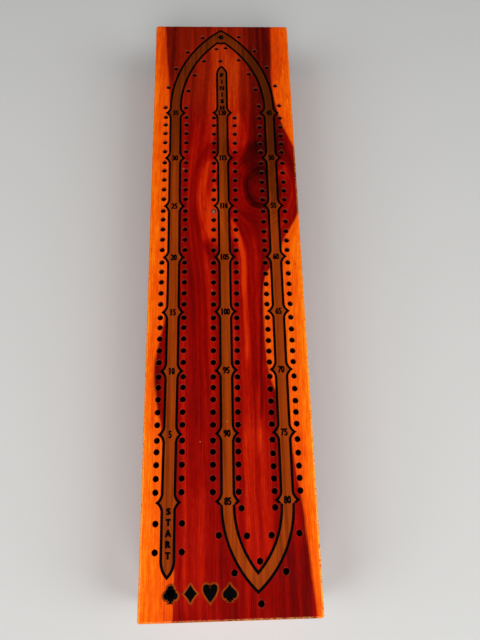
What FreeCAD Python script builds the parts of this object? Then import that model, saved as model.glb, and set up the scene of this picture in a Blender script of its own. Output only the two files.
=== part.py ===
import FreeCAD, Part
import os
import Sketcher
from FreeCAD import Rotation, Vector

# A cribbage box: a long cedar board drilled with a continuous track of peg holes, glued over two rails and
# an end block, with a thin panel let in underneath. A drawer for the cards and pegs slides out of the far
# end on a brass knob. A screw in the panel catches the drawer's back before it can fall out.
#
# Frame: +Z up, +X to the right when the numbers read upright, +Y towards the FINISH end and the knob.
# The origin is the centre of the footprint, knob included, on the surface that the box stands on.
# Lengths are in millimetres.

doc = FreeCAD.newDocument("CribbageBox")

# ---------------------------------------------------------------------------------------------------------
# Driving dimensions: a word, its value and what it measures
# ---------------------------------------------------------------------------------------------------------
SIZES = (
    ("board_length", 391.0, "playing board, along the track"),
    ("board_width", 97.0, "playing board, across the track"),
    ("top_thickness", 12.7, "playing board"),
    ("edge_round", 1.5, "radius of the board's corners and upper rim"),
    ("hole_diameter", 3.5, "peg holes"),
    ("hole_web", 3.2, "wood left under a peg hole"),
    ("start_margin", 58.53, "near end of the board to the START marker"),
    ("finish_margin", 77.43, "last marker of the long lanes to the far end"),
    ("street_count", 7, "streets of five holes in a lane"),
    ("left_lane_inset", 15.45, "left edge to the left lane's middle"),
    ("left_lane_slant", 0.2, "degrees that the left lane's holes lean to the right"),
    ("right_lane_inset", 16.3, "right edge to the right lane's middle"),
    ("centre_lane_shift", 0.65, "centre lane's middle, left of the board's middle"),
    ("centre_lane_slant", 0.6, "degrees that the centre lane's holes lean to the right"),
    ("centre_lane_drop", 0.5, "centre lane's holes, nearer than they'd lie from the START marker"),
    ("row_gap", 14.3, "between the two rows of holes in a lane"),
    ("hole_one", 0.145, "first hole, as a part of the street"),
    ("hole_two", 0.342, "second hole"),
    ("hole_three", 0.543, "third hole"),
    ("hole_four", 0.735, "fourth hole"),
    ("hole_five", 0.907, "fifth hole"),
    ("return_one", 0.126, "first hole of the returning lane's street"),
    ("return_two", 0.309, "second hole"),
    ("return_three", 0.489, "third hole"),
    ("return_four", 0.682, "fourth hole"),
    ("return_five", 0.888, "fifth hole"),
    ("arch_rise", 4.15, "last marker to the level of the arch's centres"),
    ("arch_reach", 47.9, "from the arch's middle to each arc's centre"),
    ("arch_lead_angle", 0.4, "degrees up to the first hole of the rising arc"),
    ("arch_tail_angle", 1.4, "degrees up to the last hole of the falling arc"),
    ("arch_step_angle", 11.2, "degrees between the arch's holes"),
    ("vee_drop", 2.6, "START marker down to the level of the vee's centres"),
    ("vee_reach", 37.3, "from the vee's middle to each arc's centre"),
    ("vee_outer_angle", 13.9, "degrees down to the first outer hole"),
    ("vee_inner_angle", 1.5, "degrees down to the first inner hole"),
    ("start_hole_drop", 10.7, "START marker down to the upper start holes"),
    ("start_hole_step", 14.2, "between the two pairs of start holes"),
    ("finish_rise", 45.2, "last marker up to the finish hole"),
    ("finish_shift", 1.5, "finish hole, left of the board's middle"),
    ("rail_height", 28.575, "side rails, under the board"),
    ("rail_thickness", 9.525, "side rails"),
    ("base_round", 1.0, "lower outer edges of the rails"),
    ("block_thickness", 12.7, "end block, along the box"),
    ("panel_thickness", 3.175, "bottom panel"),
    ("rabbet_width", 5.5, "rabbet in the rail that takes the panel"),
    ("panel_lap", 6.35, "panel under the end block"),
    ("panel_setback", 1.0, "panel's edge behind the drawer end"),
    ("panel_play", 0.2, "gap beside a panel in its rabbet or groove"),
    ("screw_diameter", 2.2, "bottom screws, shank"),
    ("screw_head", 4.4, "bottom screws, head"),
    ("screw_length", 12.0, "bottom screws"),
    ("screw_end", 28.0, "end of the box to the first bottom screw"),
    ("screws_per_rail", 5, "bottom screws along one rail"),
    ("block_screw_gap", 38.0, "between the two screws into the end block"),
    ("screw_slot_width", 0.7, "driver slots in the bottom screws and the stop screw"),
    ("screw_slot_depth", 0.7, "driver slots in the bottom screws and the stop screw"),
    ("dowel_diameter", 4.7625, "dowels in the end block"),
    ("dowel_length", 25.4, "dowels in the end block"),
    ("dowel_gap", 12.0, "between two dowels, upright"),
    ("foot_diameter", 12.7, "foot pads"),
    ("foot_height", 2.0, "foot pads"),
    ("foot_round", 0.6, "lower rim of a foot pad"),
    ("foot_inset_x", 14.0, "side of the box to a pad's middle"),
    ("foot_inset_y", 16.0, "end of the box to a pad's middle"),
    ("drawer_gap", 0.4, "play round the drawer in its bay"),
    ("front_thickness", 9.525, "drawer front"),
    ("front_lap", 4.7625, "drawer side in the front's rabbet"),
    ("front_round", 0.8, "outer edges of the drawer front"),
    ("side_thickness", 4.7625, "drawer sides"),
    ("back_thickness", 4.7625, "drawer back"),
    ("tray_thickness", 3.175, "drawer bottom"),
    ("tray_raise", 2.4, "drawer bottom above the drawer's lower edge"),
    ("groove_depth", 2.4, "groove for the drawer bottom"),
    ("card_bay", 94.0, "a compartment for one deck, along the drawer"),
    ("divider_thickness", 3.175, "dividers"),
    ("divider_drop", 3.0, "dividers below the drawer's upper edge"),
    ("dado_depth", 1.6, "slot in a drawer side for a divider"),
    ("brad_diameter", 1.4, "brads in the drawer's corners"),
    ("brad_length", 14.0, "brads in the drawer's corners"),
    ("brad_inset", 4.0, "drawer's upper edge or bottom to a brad"),
    ("stop_inset", 70.0, "drawer end of the box to the stop screw"),
    ("stop_diameter", 3.0, "stop screw, shank"),
    ("stop_head", 5.6, "stop screw, head"),
    ("stop_clearance", 0.8, "stop screw's tip under the drawer bottom"),
    ("knob_projection", 12.0, "knob, out from the drawer front"),
    ("knob_diameter", 12.0, "knob, at its widest"),
    ("knob_neck", 5.6, "knob, at its neck"),
    ("knob_flange", 9.0, "knob's flange against the front"),
    ("knob_flange_height", 1.4, "knob's flange"),
    ("knob_neck_length", 4.6, "neck, from the flange to the head"),
    ("knob_round", 2.0, "round of the knob's head"),
    ("knob_neck_round", 1.0, "hollow rounds at both ends of the knob's neck"),
    ("knob_screw_diameter", 4.0, "machine screw in the knob"),
    ("knob_screw_reach", 7.0, "machine screw inside the knob"),
    ("knob_screw_head", 7.4, "machine screw's head"),
    ("knob_screw_head_height", 2.4, "machine screw's head"),
    ("knob_screw_round", 1.0, "inner rim of the machine screw's head"),
    ("slot_width", 1.0, "driver slot in the machine screw"),
    ("slot_depth", 1.0, "driver slot in the machine screw"),
    ("peg_tip", 2.6, "peg, across the tip"),
    ("peg_shank", 3.3, "peg, across the top of the shank"),
    ("peg_head", 4.8, "peg, across the grip"),
    ("peg_shank_length", 14.0, "peg, tip to grip"),
    ("peg_length", 32.0, "peg, whole length"),
    ("peg_round", 1.6, "end of a peg's grip"),
)

sheet = doc.addObject("Spreadsheet::Sheet", "Sizes")
for row, (word, size, note) in enumerate(SIZES, start=1):
    sheet.set(f"A{row}", word)
    sheet.set(f"B{row}", str(size))
    sheet.set(f"C{row}", note)
    sheet.setAlias(f"B{row}", word)
doc.recompute()

# ---------------------------------------------------------------------------------------------------------
# Places that follow from the sizes, as expressions for the document to work out
# ---------------------------------------------------------------------------------------------------------
HALF_LENGTH = "Sizes.board_length / 2"
HALF_WIDTH = "Sizes.board_width / 2"
CENTRE_Y = "-Sizes.knob_projection / 2"
FOOT_TOP = "Sizes.foot_height"
BOARD_BASE = "Sizes.foot_height + Sizes.rail_height"
BAY_HALF = "(Sizes.board_width / 2 - Sizes.rail_thickness)"
PANEL_HALF = f"({BAY_HALF} + Sizes.rabbet_width - Sizes.panel_play)"
PANEL_NEAR = "(-Sizes.board_length / 2 + Sizes.panel_lap)"
BLOCK_FACE = "(-Sizes.board_length / 2 + Sizes.block_thickness)"
HOLE_DEPTH = "Sizes.top_thickness - Sizes.hole_web"

STREET = "((Sizes.board_length - Sizes.start_margin - Sizes.finish_margin) / Sizes.street_count)"
FIRST_MARKER = "(-Sizes.board_length / 2 + Sizes.start_margin)"
LAST_MARKER = "(Sizes.board_length / 2 - Sizes.finish_margin)"
LEFT_LANE = "(-Sizes.board_width / 2 + Sizes.left_lane_inset)"
CENTRE_LANE = "(-Sizes.centre_lane_shift)"
RIGHT_LANE = "(Sizes.board_width / 2 - Sizes.right_lane_inset)"

DRAWER_HALF = f"({BAY_HALF} - Sizes.drawer_gap)"
DRAWER_BASE = "(Sizes.foot_height + Sizes.panel_thickness + Sizes.drawer_gap)"
DRAWER_HEIGHT = "(Sizes.rail_height - Sizes.panel_thickness - 2 * Sizes.drawer_gap)"
DRAWER_END = f"({BLOCK_FACE} + Sizes.drawer_gap)"
DRAWER_INNER_HALF = f"({DRAWER_HALF} - Sizes.side_thickness)"
SIDE_LENGTH = f"({HALF_LENGTH} - Sizes.front_thickness + Sizes.front_lap - {DRAWER_END})"
FRONT_INNER = f"({HALF_LENGTH} - Sizes.front_thickness)"
BACK_INNER = f"({DRAWER_END} + Sizes.back_thickness)"
TRAY_TOP = "(Sizes.tray_raise + Sizes.tray_thickness)"
TRAY_BITE = "(Sizes.groove_depth - Sizes.panel_play)"
FRONT_DIVIDER_FACE = f"({FRONT_INNER} - Sizes.card_bay - Sizes.divider_thickness)"
REAR_DIVIDER_FACE = f"({FRONT_DIVIDER_FACE} - Sizes.card_bay - Sizes.divider_thickness)"
PEG_FLOOR = f"({DRAWER_BASE} + {TRAY_TOP})"

TOLERANCE = 1e-6
GUESS = 1.0  # what a tied measure holds until its expression is worked out
drilled = []


# ---------------------------------------------------------------------------------------------------------
# Helpers: bodies, sketches tied to the sheet, and the features made from them
# ---------------------------------------------------------------------------------------------------------
def new_body(label):
    """An empty body that takes the label of its piece."""
    body = doc.addObject("PartDesign::Body", label)
    body.Label = label
    return body


def datum(body, role):
    """One of the body's own origin planes or axes."""
    return next(item for item in body.Origin.OriginFeatures if item.Role == role)


def place(body, x="0", y="0", z="0"):
    """Sets the body in the box: x and z as they stand, y from the middle of the board's length."""
    body.setExpression(".Placement.Base.x", x)
    body.setExpression(".Placement.Base.y", f"{y} + ({CENTRE_Y})")
    body.setExpression(".Placement.Base.z", z)


def sketch_on(body, name, role="XY_Plane", across="0", up="0", out="0", turn="0"):
    """A sketch on an origin plane, moved across, up and out from it and turned in it."""
    sketch = body.newObject("Sketcher::SketchObject", f"{body.Label}_{name}")
    sketch.AttachmentSupport = [(datum(body, role), "")]
    sketch.MapMode = "FlatFace"
    sketch.setExpression(".AttachmentOffset.Base.x", across)
    sketch.setExpression(".AttachmentOffset.Base.y", up)
    sketch.setExpression(".AttachmentOffset.Base.z", out)
    sketch.setExpression(".AttachmentOffset.Rotation.Angle", turn)
    return sketch


def tie_point(sketch, geometry, point, across, up):
    """Holds a point of the sketch at two expressions, measured from the sketch's origin."""
    for kind, expression in (("DistanceX", across), ("DistanceY", up)):
        index = sketch.addConstraint(Sketcher.Constraint(kind, -1, 1, geometry, point, GUESS))
        name = f"{kind}_{geometry}_{point}"
        sketch.renameConstraint(index, name)
        sketch.setExpression(f"Constraints.{name}", expression)


def polygon(sketch, corners):
    """A closed outline through corners, each a pair of expressions."""
    count = len(corners)
    first = sketch.GeometryCount
    for i in range(count):
        start = Vector(i, i * i, 0)
        end = Vector((i + 1) % count, ((i + 1) % count) ** 2, 0)
        sketch.addGeometry(Part.LineSegment(start, end), False)
    for i in range(count):
        after = first + (i + 1) % count
        sketch.addConstraint(Sketcher.Constraint("Coincident", first + i, 2, after, 1))
    for i, (across, up) in enumerate(corners):
        tie_point(sketch, first + i, 1, across, up)


def rectangle(sketch, left, right, low, high):
    """A rectangle between four expressions."""
    polygon(sketch, ((left, low), (right, low), (right, high), (left, high)))


def circles(sketch, centres, diameter):
    """One circle at each pair of expressions."""
    for i, (across, up) in enumerate(centres):
        circle = sketch.addGeometry(Part.Circle(Vector(i, i, 0), Vector(0, 0, 1), GUESS), False)
        tie_point(sketch, circle, 3, across, up)
        index = sketch.addConstraint(Sketcher.Constraint("Diameter", circle, GUESS))
        sketch.renameConstraint(index, f"Diameter_{circle}")
        sketch.setExpression(f"Constraints.Diameter_{circle}", diameter)


def pad(body, name, sketch, length, turned=False):
    """Material from the sketch along its plane's normal, or against it when turned."""
    feature = body.newObject("PartDesign::Pad", f"{body.Label}_{name}")
    feature.Profile = sketch
    feature.setExpression("Length", length)
    feature.Reversed = turned
    doc.recompute()
    return feature


def pocket(body, name, sketch, depth, turned=False):
    """A cut from the sketch against its plane's normal, or along it when turned."""
    before = body.Tip
    feature = body.newObject("PartDesign::Pocket", f"{body.Label}_{name}")
    feature.Profile = sketch
    feature.setExpression("Length", depth)
    feature.Reversed = turned
    doc.recompute()
    drilled.append((before, feature))
    return feature


def revolution(body, name, sketch):
    """A turned shape round the sketch's upright axis."""
    feature = body.newObject("PartDesign::Revolution", f"{body.Label}_{name}")
    feature.Profile = sketch
    feature.ReferenceAxis = (sketch, ["V_Axis"])
    feature.Angle = 360
    doc.recompute()
    return feature


def repeat(body, name, originals, direction, length, count):
    """Copies features in a row of count over a length."""
    feature = body.newObject("PartDesign::LinearPattern", f"{body.Label}_{name}")
    feature.Originals = originals
    feature.Direction = direction
    feature.setExpression("Length", length)
    feature.setExpression("Occurrences", count)
    body.Tip = feature
    doc.recompute()
    return feature


def mirror(body, name, originals, role="YZ_Plane"):
    """Copies features to the other side of an origin plane."""
    feature = body.newObject("PartDesign::Mirrored", f"{body.Label}_{name}")
    feature.Originals = originals
    feature.MirrorPlane = (datum(body, role), [""])
    body.Tip = feature
    doc.recompute()
    return feature


def edges_of(feature, wanted):
    """Names of the feature's edges whose bounding box and direction satisfy the test."""
    return [
        f"Edge{number}"
        for number, edge in enumerate(feature.Shape.Edges, start=1)
        if wanted(edge.BoundBox)
    ]


def same(one, other):
    """True for two measures that agree."""
    return abs(one - other) < TOLERANCE * 10


def fillet(body, name, edges, radius):
    """Rounds edges of the body's last feature."""
    base = body.Tip
    feature = body.newObject("PartDesign::Fillet", f"{body.Label}_{name}")
    feature.Base = (base, edges)
    feature.setExpression("Radius", radius)
    doc.recompute()
    return feature


def chamfer(body, name, edges, size):
    """Bevels edges of the body's last feature at 45 degrees."""
    base = body.Tip
    feature = body.newObject("PartDesign::Chamfer", f"{body.Label}_{name}")
    feature.Base = (base, edges)
    feature.setExpression("Size", size)
    doc.recompute()
    return feature


# ---------------------------------------------------------------------------------------------------------
# Playing board: a rounded plank, then the track drilled lane by lane
# ---------------------------------------------------------------------------------------------------------
UP_STREET = tuple(f"Sizes.hole_{word}" for word in ("one", "two", "three", "four", "five"))
RETURN_STREET = tuple(f"Sizes.return_{word}" for word in ("one", "two", "three", "four", "five"))


def drill_lane(body, name, middle, street, slant="0", drop="0"):
    """Two rows of five holes, repeated along the lane from street to street. A slant, in degrees, leans the
    rows to the right about the middle of the lane's length, and a drop moves them all to the near end."""
    start = f"{middle} - tan({slant}) * ({LAST_MARKER} - {FIRST_MARKER}) / 2"
    lean = f"-({slant})"
    up = f"{FIRST_MARKER} - {drop}"
    sketch = sketch_on(body, name, across=start, up=up, out="Sizes.top_thickness", turn=lean)
    centres = []
    for part in street:
        for side in (-1, 1):
            centres.append((f"{side} * Sizes.row_gap / 2", f"{part} * {STREET}"))
    circles(sketch, centres, "Sizes.hole_diameter")
    holes = pocket(body, f"{name}_holes", sketch, HOLE_DEPTH)
    length = f"{STREET} * (Sizes.street_count - 1)"
    repeat(body, f"{name}_streets", [holes], (sketch, ["V_Axis"]), length, "Sizes.street_count")


def arc_point(middle, level, side, radius, reach, angle, sense):
    """A point on a pointed arch: two arcs whose centres lie past the middle, on the level given."""
    across = f"{middle} + {side} * ({radius} * cos({angle}) - {reach})"
    up = f"{level} + {sense} * {radius} * sin({angle})"
    return across, up


def arch_centres():
    """Five pairs of holes up the rising arc and five down the falling one, round the top of the board."""
    middle = f"(({LEFT_LANE} + {RIGHT_LANE}) / 2)"
    level = f"({LAST_MARKER} + Sizes.arch_rise)"
    centres = []
    for side, lead in ((-1, "Sizes.arch_lead_angle"), (1, "Sizes.arch_tail_angle")):
        for row in (-1, 1):
            half_span = f"({RIGHT_LANE} - {LEFT_LANE}) / 2"
            radius = f"({half_span} + Sizes.arch_reach + {row} * Sizes.row_gap / 2)"
            for step in range(5):
                angle = f"({lead} + {step} * Sizes.arch_step_angle)"
                centres.append(arc_point(middle, level, side, radius, "Sizes.arch_reach", angle, 1))
    return centres


def vee_centres():
    """Two rows round the point at the START end: each has two holes a side and one at the tip."""
    middle = f"(({CENTRE_LANE} + {RIGHT_LANE}) / 2)"
    level = f"({FIRST_MARKER} - Sizes.vee_drop)"
    centres = []
    for row, first in ((1, "Sizes.vee_outer_angle"), (-1, "Sizes.vee_inner_angle")):
        half_span = f"({RIGHT_LANE} - {CENTRE_LANE}) / 2"
        radius = f"({half_span} + Sizes.vee_reach + {row} * Sizes.row_gap / 2)"
        tip = f"(acos(Sizes.vee_reach / {radius}) / 1 deg)"
        for side in (-1, 1):
            for angle in (first, f"(({first} + {tip}) / 2)"):
                centres.append(arc_point(middle, level, side, radius, "Sizes.vee_reach", angle, -1))
        centres.append((middle, f"{level} - {radius} * sin({tip})"))
    return centres


def make_top_board():
    body = new_body("top_board")
    outline = sketch_on(body, "outline")
    rectangle(outline, f"-{HALF_WIDTH}", HALF_WIDTH, f"-{HALF_LENGTH}", HALF_LENGTH)
    plank = pad(body, "plank", outline, "Sizes.top_thickness")
    top = plank.Shape.BoundBox.ZMax
    rounded = edges_of(plank, lambda box: same(box.ZMax, top))
    fillet(body, "rounds", rounded, "Sizes.edge_round")

    drill_lane(body, "left_lane", LEFT_LANE, UP_STREET, slant="Sizes.left_lane_slant")
    slanted = {"slant": "Sizes.centre_lane_slant", "drop": "Sizes.centre_lane_drop"}
    drill_lane(body, "centre_lane", CENTRE_LANE, UP_STREET, **slanted)
    drill_lane(body, "right_lane", RIGHT_LANE, RETURN_STREET)

    for name, centres in (("arch", arch_centres()), ("vee", vee_centres())):
        sketch = sketch_on(body, name, out="Sizes.top_thickness")
        circles(sketch, centres, "Sizes.hole_diameter")
        pocket(body, f"{name}_holes", sketch, HOLE_DEPTH)

    ends = sketch_on(body, "ends", out="Sizes.top_thickness")
    centres = [("-Sizes.finish_shift", f"{LAST_MARKER} + Sizes.finish_rise")]
    for side in (-1, 1):
        for row in (0, 1):
            drop = f"Sizes.start_hole_drop + {row} * Sizes.start_hole_step"
            centres.append((f"{LEFT_LANE} + {side} * Sizes.row_gap / 2", f"{FIRST_MARKER} - ({drop})"))
    circles(ends, centres, "Sizes.hole_diameter")
    pocket(body, "end_holes", ends, HOLE_DEPTH)
    place(body, z=BOARD_BASE)
    return body


# ---------------------------------------------------------------------------------------------------------
# Case: rails, end block, panel, and what holds them together
# ---------------------------------------------------------------------------------------------------------
SCREW_X = f"({BAY_HALF} + Sizes.rabbet_width / 2)"
SCREW_Y = "(Sizes.board_length / 2 - Sizes.screw_end)"
BLOCK_SCREW_Y = f"(({PANEL_NEAR} + {BLOCK_FACE}) / 2)"
SCREW_BITE = "Sizes.screw_length - Sizes.panel_thickness"
SCREW_RUN = f"2 * {SCREW_Y}"
DOWEL_Y = f"({BLOCK_FACE} - Sizes.block_thickness / 2)"
DOWEL_Z = "((Sizes.rail_height + Sizes.panel_thickness) / 2)"
STOP_Y = "(Sizes.board_length / 2 - Sizes.stop_inset)"


def dowel_centres():
    """Two dowel places, one over the other, in the plane of the box's side."""
    return [(DOWEL_Y, f"{DOWEL_Z} + {side} * Sizes.dowel_gap / 2") for side in (-1, 1)]


def block_screw_centres():
    """The two screws that go up into the end block."""
    return [(f"{side} * Sizes.block_screw_gap / 2", BLOCK_SCREW_Y) for side in (-1, 1)]


def make_rail(label, side):
    """A side rail. Its inner face is the body's own YZ plane."""
    body = new_body(label)
    outer = f"{side} * Sizes.rail_thickness"
    outline = sketch_on(body, "outline")
    rectangle(outline, "0", outer, f"-{HALF_LENGTH}", HALF_LENGTH)
    stock = pad(body, "stock", outline, "Sizes.rail_height")
    box = stock.Shape.BoundBox
    outer_x = box.XMin if side < 0 else box.XMax
    corners = edges_of(stock, lambda e: same(e.XLength + e.YLength, 0) and same(e.XMin, outer_x))
    fillet(body, "corners", corners, "Sizes.edge_round")
    rim = edges_of(body.Tip, lambda e: same(e.ZMax, 0) and same(abs(e.Center.x), abs(outer_x)))
    fillet(body, "base_rim", rim, "Sizes.base_round")

    rabbet = sketch_on(body, "rabbet")
    rectangle(rabbet, "0", f"{side} * Sizes.rabbet_width", PANEL_NEAR, HALF_LENGTH)
    pocket(body, "panel_rabbet", rabbet, "Sizes.panel_thickness", turned=True)

    pilot = sketch_on(body, "pilot", out="Sizes.panel_thickness")
    circles(pilot, [(f"{side} * Sizes.rabbet_width / 2", f"-{SCREW_Y}")], "Sizes.screw_diameter")
    holes = pocket(body, "pilot_hole", pilot, SCREW_BITE, turned=True)
    repeat(body, "pilot_row", [holes], (datum(body, "Y_Axis"), [""]), SCREW_RUN, "Sizes.screws_per_rail")

    dowels = sketch_on(body, "dowel_places", role="YZ_Plane")
    circles(dowels, dowel_centres(), "Sizes.dowel_diameter")
    pocket(body, "dowel_holes", dowels, "Sizes.rail_thickness", turned=side > 0)
    place(body, x=f"{side} * {BAY_HALF}", z=FOOT_TOP)
    return body


def make_end_block():
    body = new_body("end_block")
    outline = sketch_on(body, "outline")
    rectangle(outline, f"-{BAY_HALF}", BAY_HALF, f"-{HALF_LENGTH}", BLOCK_FACE)
    stock = pad(body, "stock", outline, "Sizes.rail_height")
    near = stock.Shape.BoundBox.YMin
    rim = edges_of(stock, lambda e: same(e.ZMax, 0) and same(e.YMax, near))
    fillet(body, "base_rim", rim, "Sizes.base_round")
    rabbet = sketch_on(body, "rabbet")
    rectangle(rabbet, f"-{BAY_HALF}", BAY_HALF, PANEL_NEAR, BLOCK_FACE)
    pocket(body, "panel_rabbet", rabbet, "Sizes.panel_thickness", turned=True)

    pilot = sketch_on(body, "pilot", out="Sizes.panel_thickness")
    circles(pilot, block_screw_centres(), "Sizes.screw_diameter")
    pocket(body, "pilot_holes", pilot, SCREW_BITE, turned=True)

    dowels = sketch_on(body, "dowel_places", role="YZ_Plane", out=BAY_HALF)
    circles(dowels, dowel_centres(), "Sizes.dowel_diameter")
    holes = pocket(body, "dowel_holes", dowels, "Sizes.dowel_length - Sizes.rail_thickness")
    mirror(body, "dowel_mirror", [holes])
    place(body, z=FOOT_TOP)
    return body


def make_bottom_panel():
    body = new_body("bottom_panel")
    outline = sketch_on(body, "outline")
    far = f"{HALF_LENGTH} - Sizes.panel_setback"
    rectangle(outline, f"-{PANEL_HALF}", PANEL_HALF, PANEL_NEAR, far)
    pad(body, "sheet", outline, "Sizes.panel_thickness")

    rail_holes = sketch_on(body, "rail_screws")
    circles(rail_holes, [(f"{side} * {SCREW_X}", f"-{SCREW_Y}") for side in (-1, 1)], "Sizes.screw_diameter")
    pair = pocket(body, "rail_screw_holes", rail_holes, "Sizes.panel_thickness", turned=True)
    repeat(body, "rail_screw_rows", [pair], (datum(body, "Y_Axis"), [""]), SCREW_RUN, "Sizes.screws_per_rail")

    block_holes = sketch_on(body, "block_screws")
    circles(block_holes, block_screw_centres(), "Sizes.screw_diameter")
    pocket(body, "block_screw_holes", block_holes, "Sizes.panel_thickness", turned=True)
    rims = edges_of(body.Tip, lambda e: same(e.ZMax, 0) and same(e.YLength, sheet.screw_diameter))
    chamfer(body, "screw_sinks", rims, "(Sizes.screw_head - Sizes.screw_diameter) / 2")

    stop_hole = sketch_on(body, "stop")
    circles(stop_hole, [("0", STOP_Y)], "Sizes.stop_diameter")
    pocket(body, "stop_hole", stop_hole, "Sizes.panel_thickness", turned=True)
    rim = edges_of(body.Tip, lambda e: same(e.ZMax, 0) and same(e.Center.x, 0) and same(e.XLength, e.YLength))
    chamfer(body, "stop_sink", rim, "(Sizes.stop_head - Sizes.stop_diameter) / 2")
    place(body, z=FOOT_TOP)
    return body


def turn_screw(body, name, across, along, outline):
    """One turned screw, pointing up from its place under the box. The outline is for its right half."""
    profile = sketch_on(body, name, role="XZ_Plane", across=across, out=f"-({along})")
    polygon(profile, outline)
    return revolution(body, f"{name}_turned", profile)


def countersunk(head, shank, length):
    """Half the outline of a countersunk screw whose head is level with the sketch's origin."""
    return (
        ("0", "0"),
        (f"{head} / 2", "0"),
        (f"{shank} / 2", f"({head} - {shank}) / 2"),
        (f"{shank} / 2", length),
        ("0", length),
    )


def cut_slots(body, name, centres, head):
    """A driver slot across each screw's head, cut up from under the box."""
    slots = sketch_on(body, name)
    half, reach = "Sizes.screw_slot_width / 2", f"{head} / 2"
    for across, along in centres:
        left, right = f"{across} - {reach}", f"{across} + {reach}"
        rectangle(slots, left, right, f"{along} - {half}", f"{along} + {half}")
    return pocket(body, f"{name}_cut", slots, "Sizes.screw_slot_depth", turned=True)


def make_bottom_screws():
    """Screws up through the panel: a row under each rail and a pair under the end block."""
    body = new_body("bottom_screws")
    outline = countersunk("Sizes.screw_head", "Sizes.screw_diameter", "Sizes.screw_length")
    for name, (across, along) in zip(("block_left", "block_right"), block_screw_centres()):
        turn_screw(body, name, across, along, outline)
    starts = [(f"{side} * {SCREW_X}", f"-{SCREW_Y}") for side in (-1, 1)]
    firsts = [
        turn_screw(body, name, across, along, outline)
        for name, (across, along) in zip(("left", "right"), starts)
    ]
    along_box = (datum(body, "Y_Axis"), [""])
    repeat(body, "rows", firsts, along_box, SCREW_RUN, "Sizes.screws_per_rail")
    cut_slots(body, "block_slots", block_screw_centres(), "Sizes.screw_head")
    pair = cut_slots(body, "rail_slots", starts, "Sizes.screw_head")
    repeat(body, "slot_rows", [pair], along_box, SCREW_RUN, "Sizes.screws_per_rail")
    place(body, z=FOOT_TOP)
    return body


def make_stop_screw():
    body = new_body("stop_screw")
    tip = "Sizes.panel_thickness + Sizes.drawer_gap + Sizes.tray_raise - Sizes.stop_clearance"
    turn_screw(body, "stop", "0", STOP_Y, countersunk("Sizes.stop_head", "Sizes.stop_diameter", tip))
    cut_slots(body, "slot", [("0", STOP_Y)], "Sizes.stop_head")
    place(body, z=FOOT_TOP)
    return body


def make_end_block_dowels():
    body = new_body("end_block_dowels")
    sketch = sketch_on(body, "ends", role="YZ_Plane", out=HALF_WIDTH)
    circles(sketch, dowel_centres(), "Sizes.dowel_diameter")
    pair = pad(body, "right_pair", sketch, "Sizes.dowel_length", turned=True)
    mirror(body, "left_pair", [pair])
    place(body, z=FOOT_TOP)
    return body


def make_foot_pad(label, side, end):
    body = new_body(label)
    sketch = sketch_on(body, "outline")
    circles(sketch, [("0", "0")], "Sizes.foot_diameter")
    pad(body, "disc", sketch, "Sizes.foot_height")
    rim = edges_of(body.Tip, lambda e: same(e.ZMax, 0))
    fillet(body, "rim", rim, "Sizes.foot_round")
    across = f"{side} * ({HALF_WIDTH} - Sizes.foot_inset_x)"
    place(body, x=across, y=f"{end} * ({HALF_LENGTH} - Sizes.foot_inset_y)")
    return body


# ---------------------------------------------------------------------------------------------------------
# Drawer: front, sides, back, bottom and dividers. Their upright zero is the drawer's lower edge.
# ---------------------------------------------------------------------------------------------------------
FRONT_MIDDLE = f"{DRAWER_HEIGHT} / 2"
BRAD_BITE = "Sizes.brad_length - Sizes.side_thickness"
FRONT_BRAD_Y = f"({FRONT_INNER} + Sizes.front_lap / 2)"
BACK_BRAD_Y = f"({DRAWER_END} + Sizes.back_thickness / 2)"


def brad_centres(along):
    """Two brads in a drawer corner, one over the drawer bottom and one under the upper edge."""
    return [(along, f"{TRAY_TOP} + Sizes.brad_inset"), (along, f"{DRAWER_HEIGHT} - Sizes.brad_inset")]


def brad_holes(body, along):
    """Blind holes for brads in both ends of a drawer front or back."""
    sketch = sketch_on(body, "brad_places", role="YZ_Plane", out=DRAWER_INNER_HALF)
    circles(sketch, brad_centres(along), "Sizes.brad_diameter")
    holes = pocket(body, "brad_holes", sketch, BRAD_BITE)
    mirror(body, "brad_mirror", [holes])


def tray_groove(body, face, turned):
    """The groove for the drawer bottom, in the inner face of a drawer front or back."""
    sketch = sketch_on(body, "groove", role="XZ_Plane", out=f"-({face})")
    rectangle(sketch, f"-{DRAWER_INNER_HALF}", DRAWER_INNER_HALF, "Sizes.tray_raise", TRAY_TOP)
    pocket(body, "tray_groove", sketch, "Sizes.groove_depth", turned=turned)


def make_drawer_front():
    body = new_body("drawer_front")
    outline = sketch_on(body, "outline")
    rectangle(outline, f"-{DRAWER_HALF}", DRAWER_HALF, FRONT_INNER, HALF_LENGTH)
    stock = pad(body, "stock", outline, DRAWER_HEIGHT)
    face = stock.Shape.BoundBox.YMax
    rim = edges_of(stock, lambda e: same(e.YMin, face))
    fillet(body, "face_rim", rim, "Sizes.front_round")

    rabbets = sketch_on(body, "rabbets")
    rectangle(rabbets, DRAWER_INNER_HALF, DRAWER_HALF, FRONT_INNER, f"{FRONT_INNER} + Sizes.front_lap")
    cut = pocket(body, "side_rabbet", rabbets, DRAWER_HEIGHT, turned=True)
    mirror(body, "rabbet_mirror", [cut])
    tray_groove(body, FRONT_INNER, turned=False)
    brad_holes(body, FRONT_BRAD_Y)

    knob_hole = sketch_on(body, "knob", role="XZ_Plane", out=f"-{HALF_LENGTH}")
    circles(knob_hole, [("0", FRONT_MIDDLE)], "Sizes.knob_screw_diameter")
    pocket(body, "knob_hole", knob_hole, "Sizes.front_thickness", turned=True)
    place(body, z=DRAWER_BASE)
    return body


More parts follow.
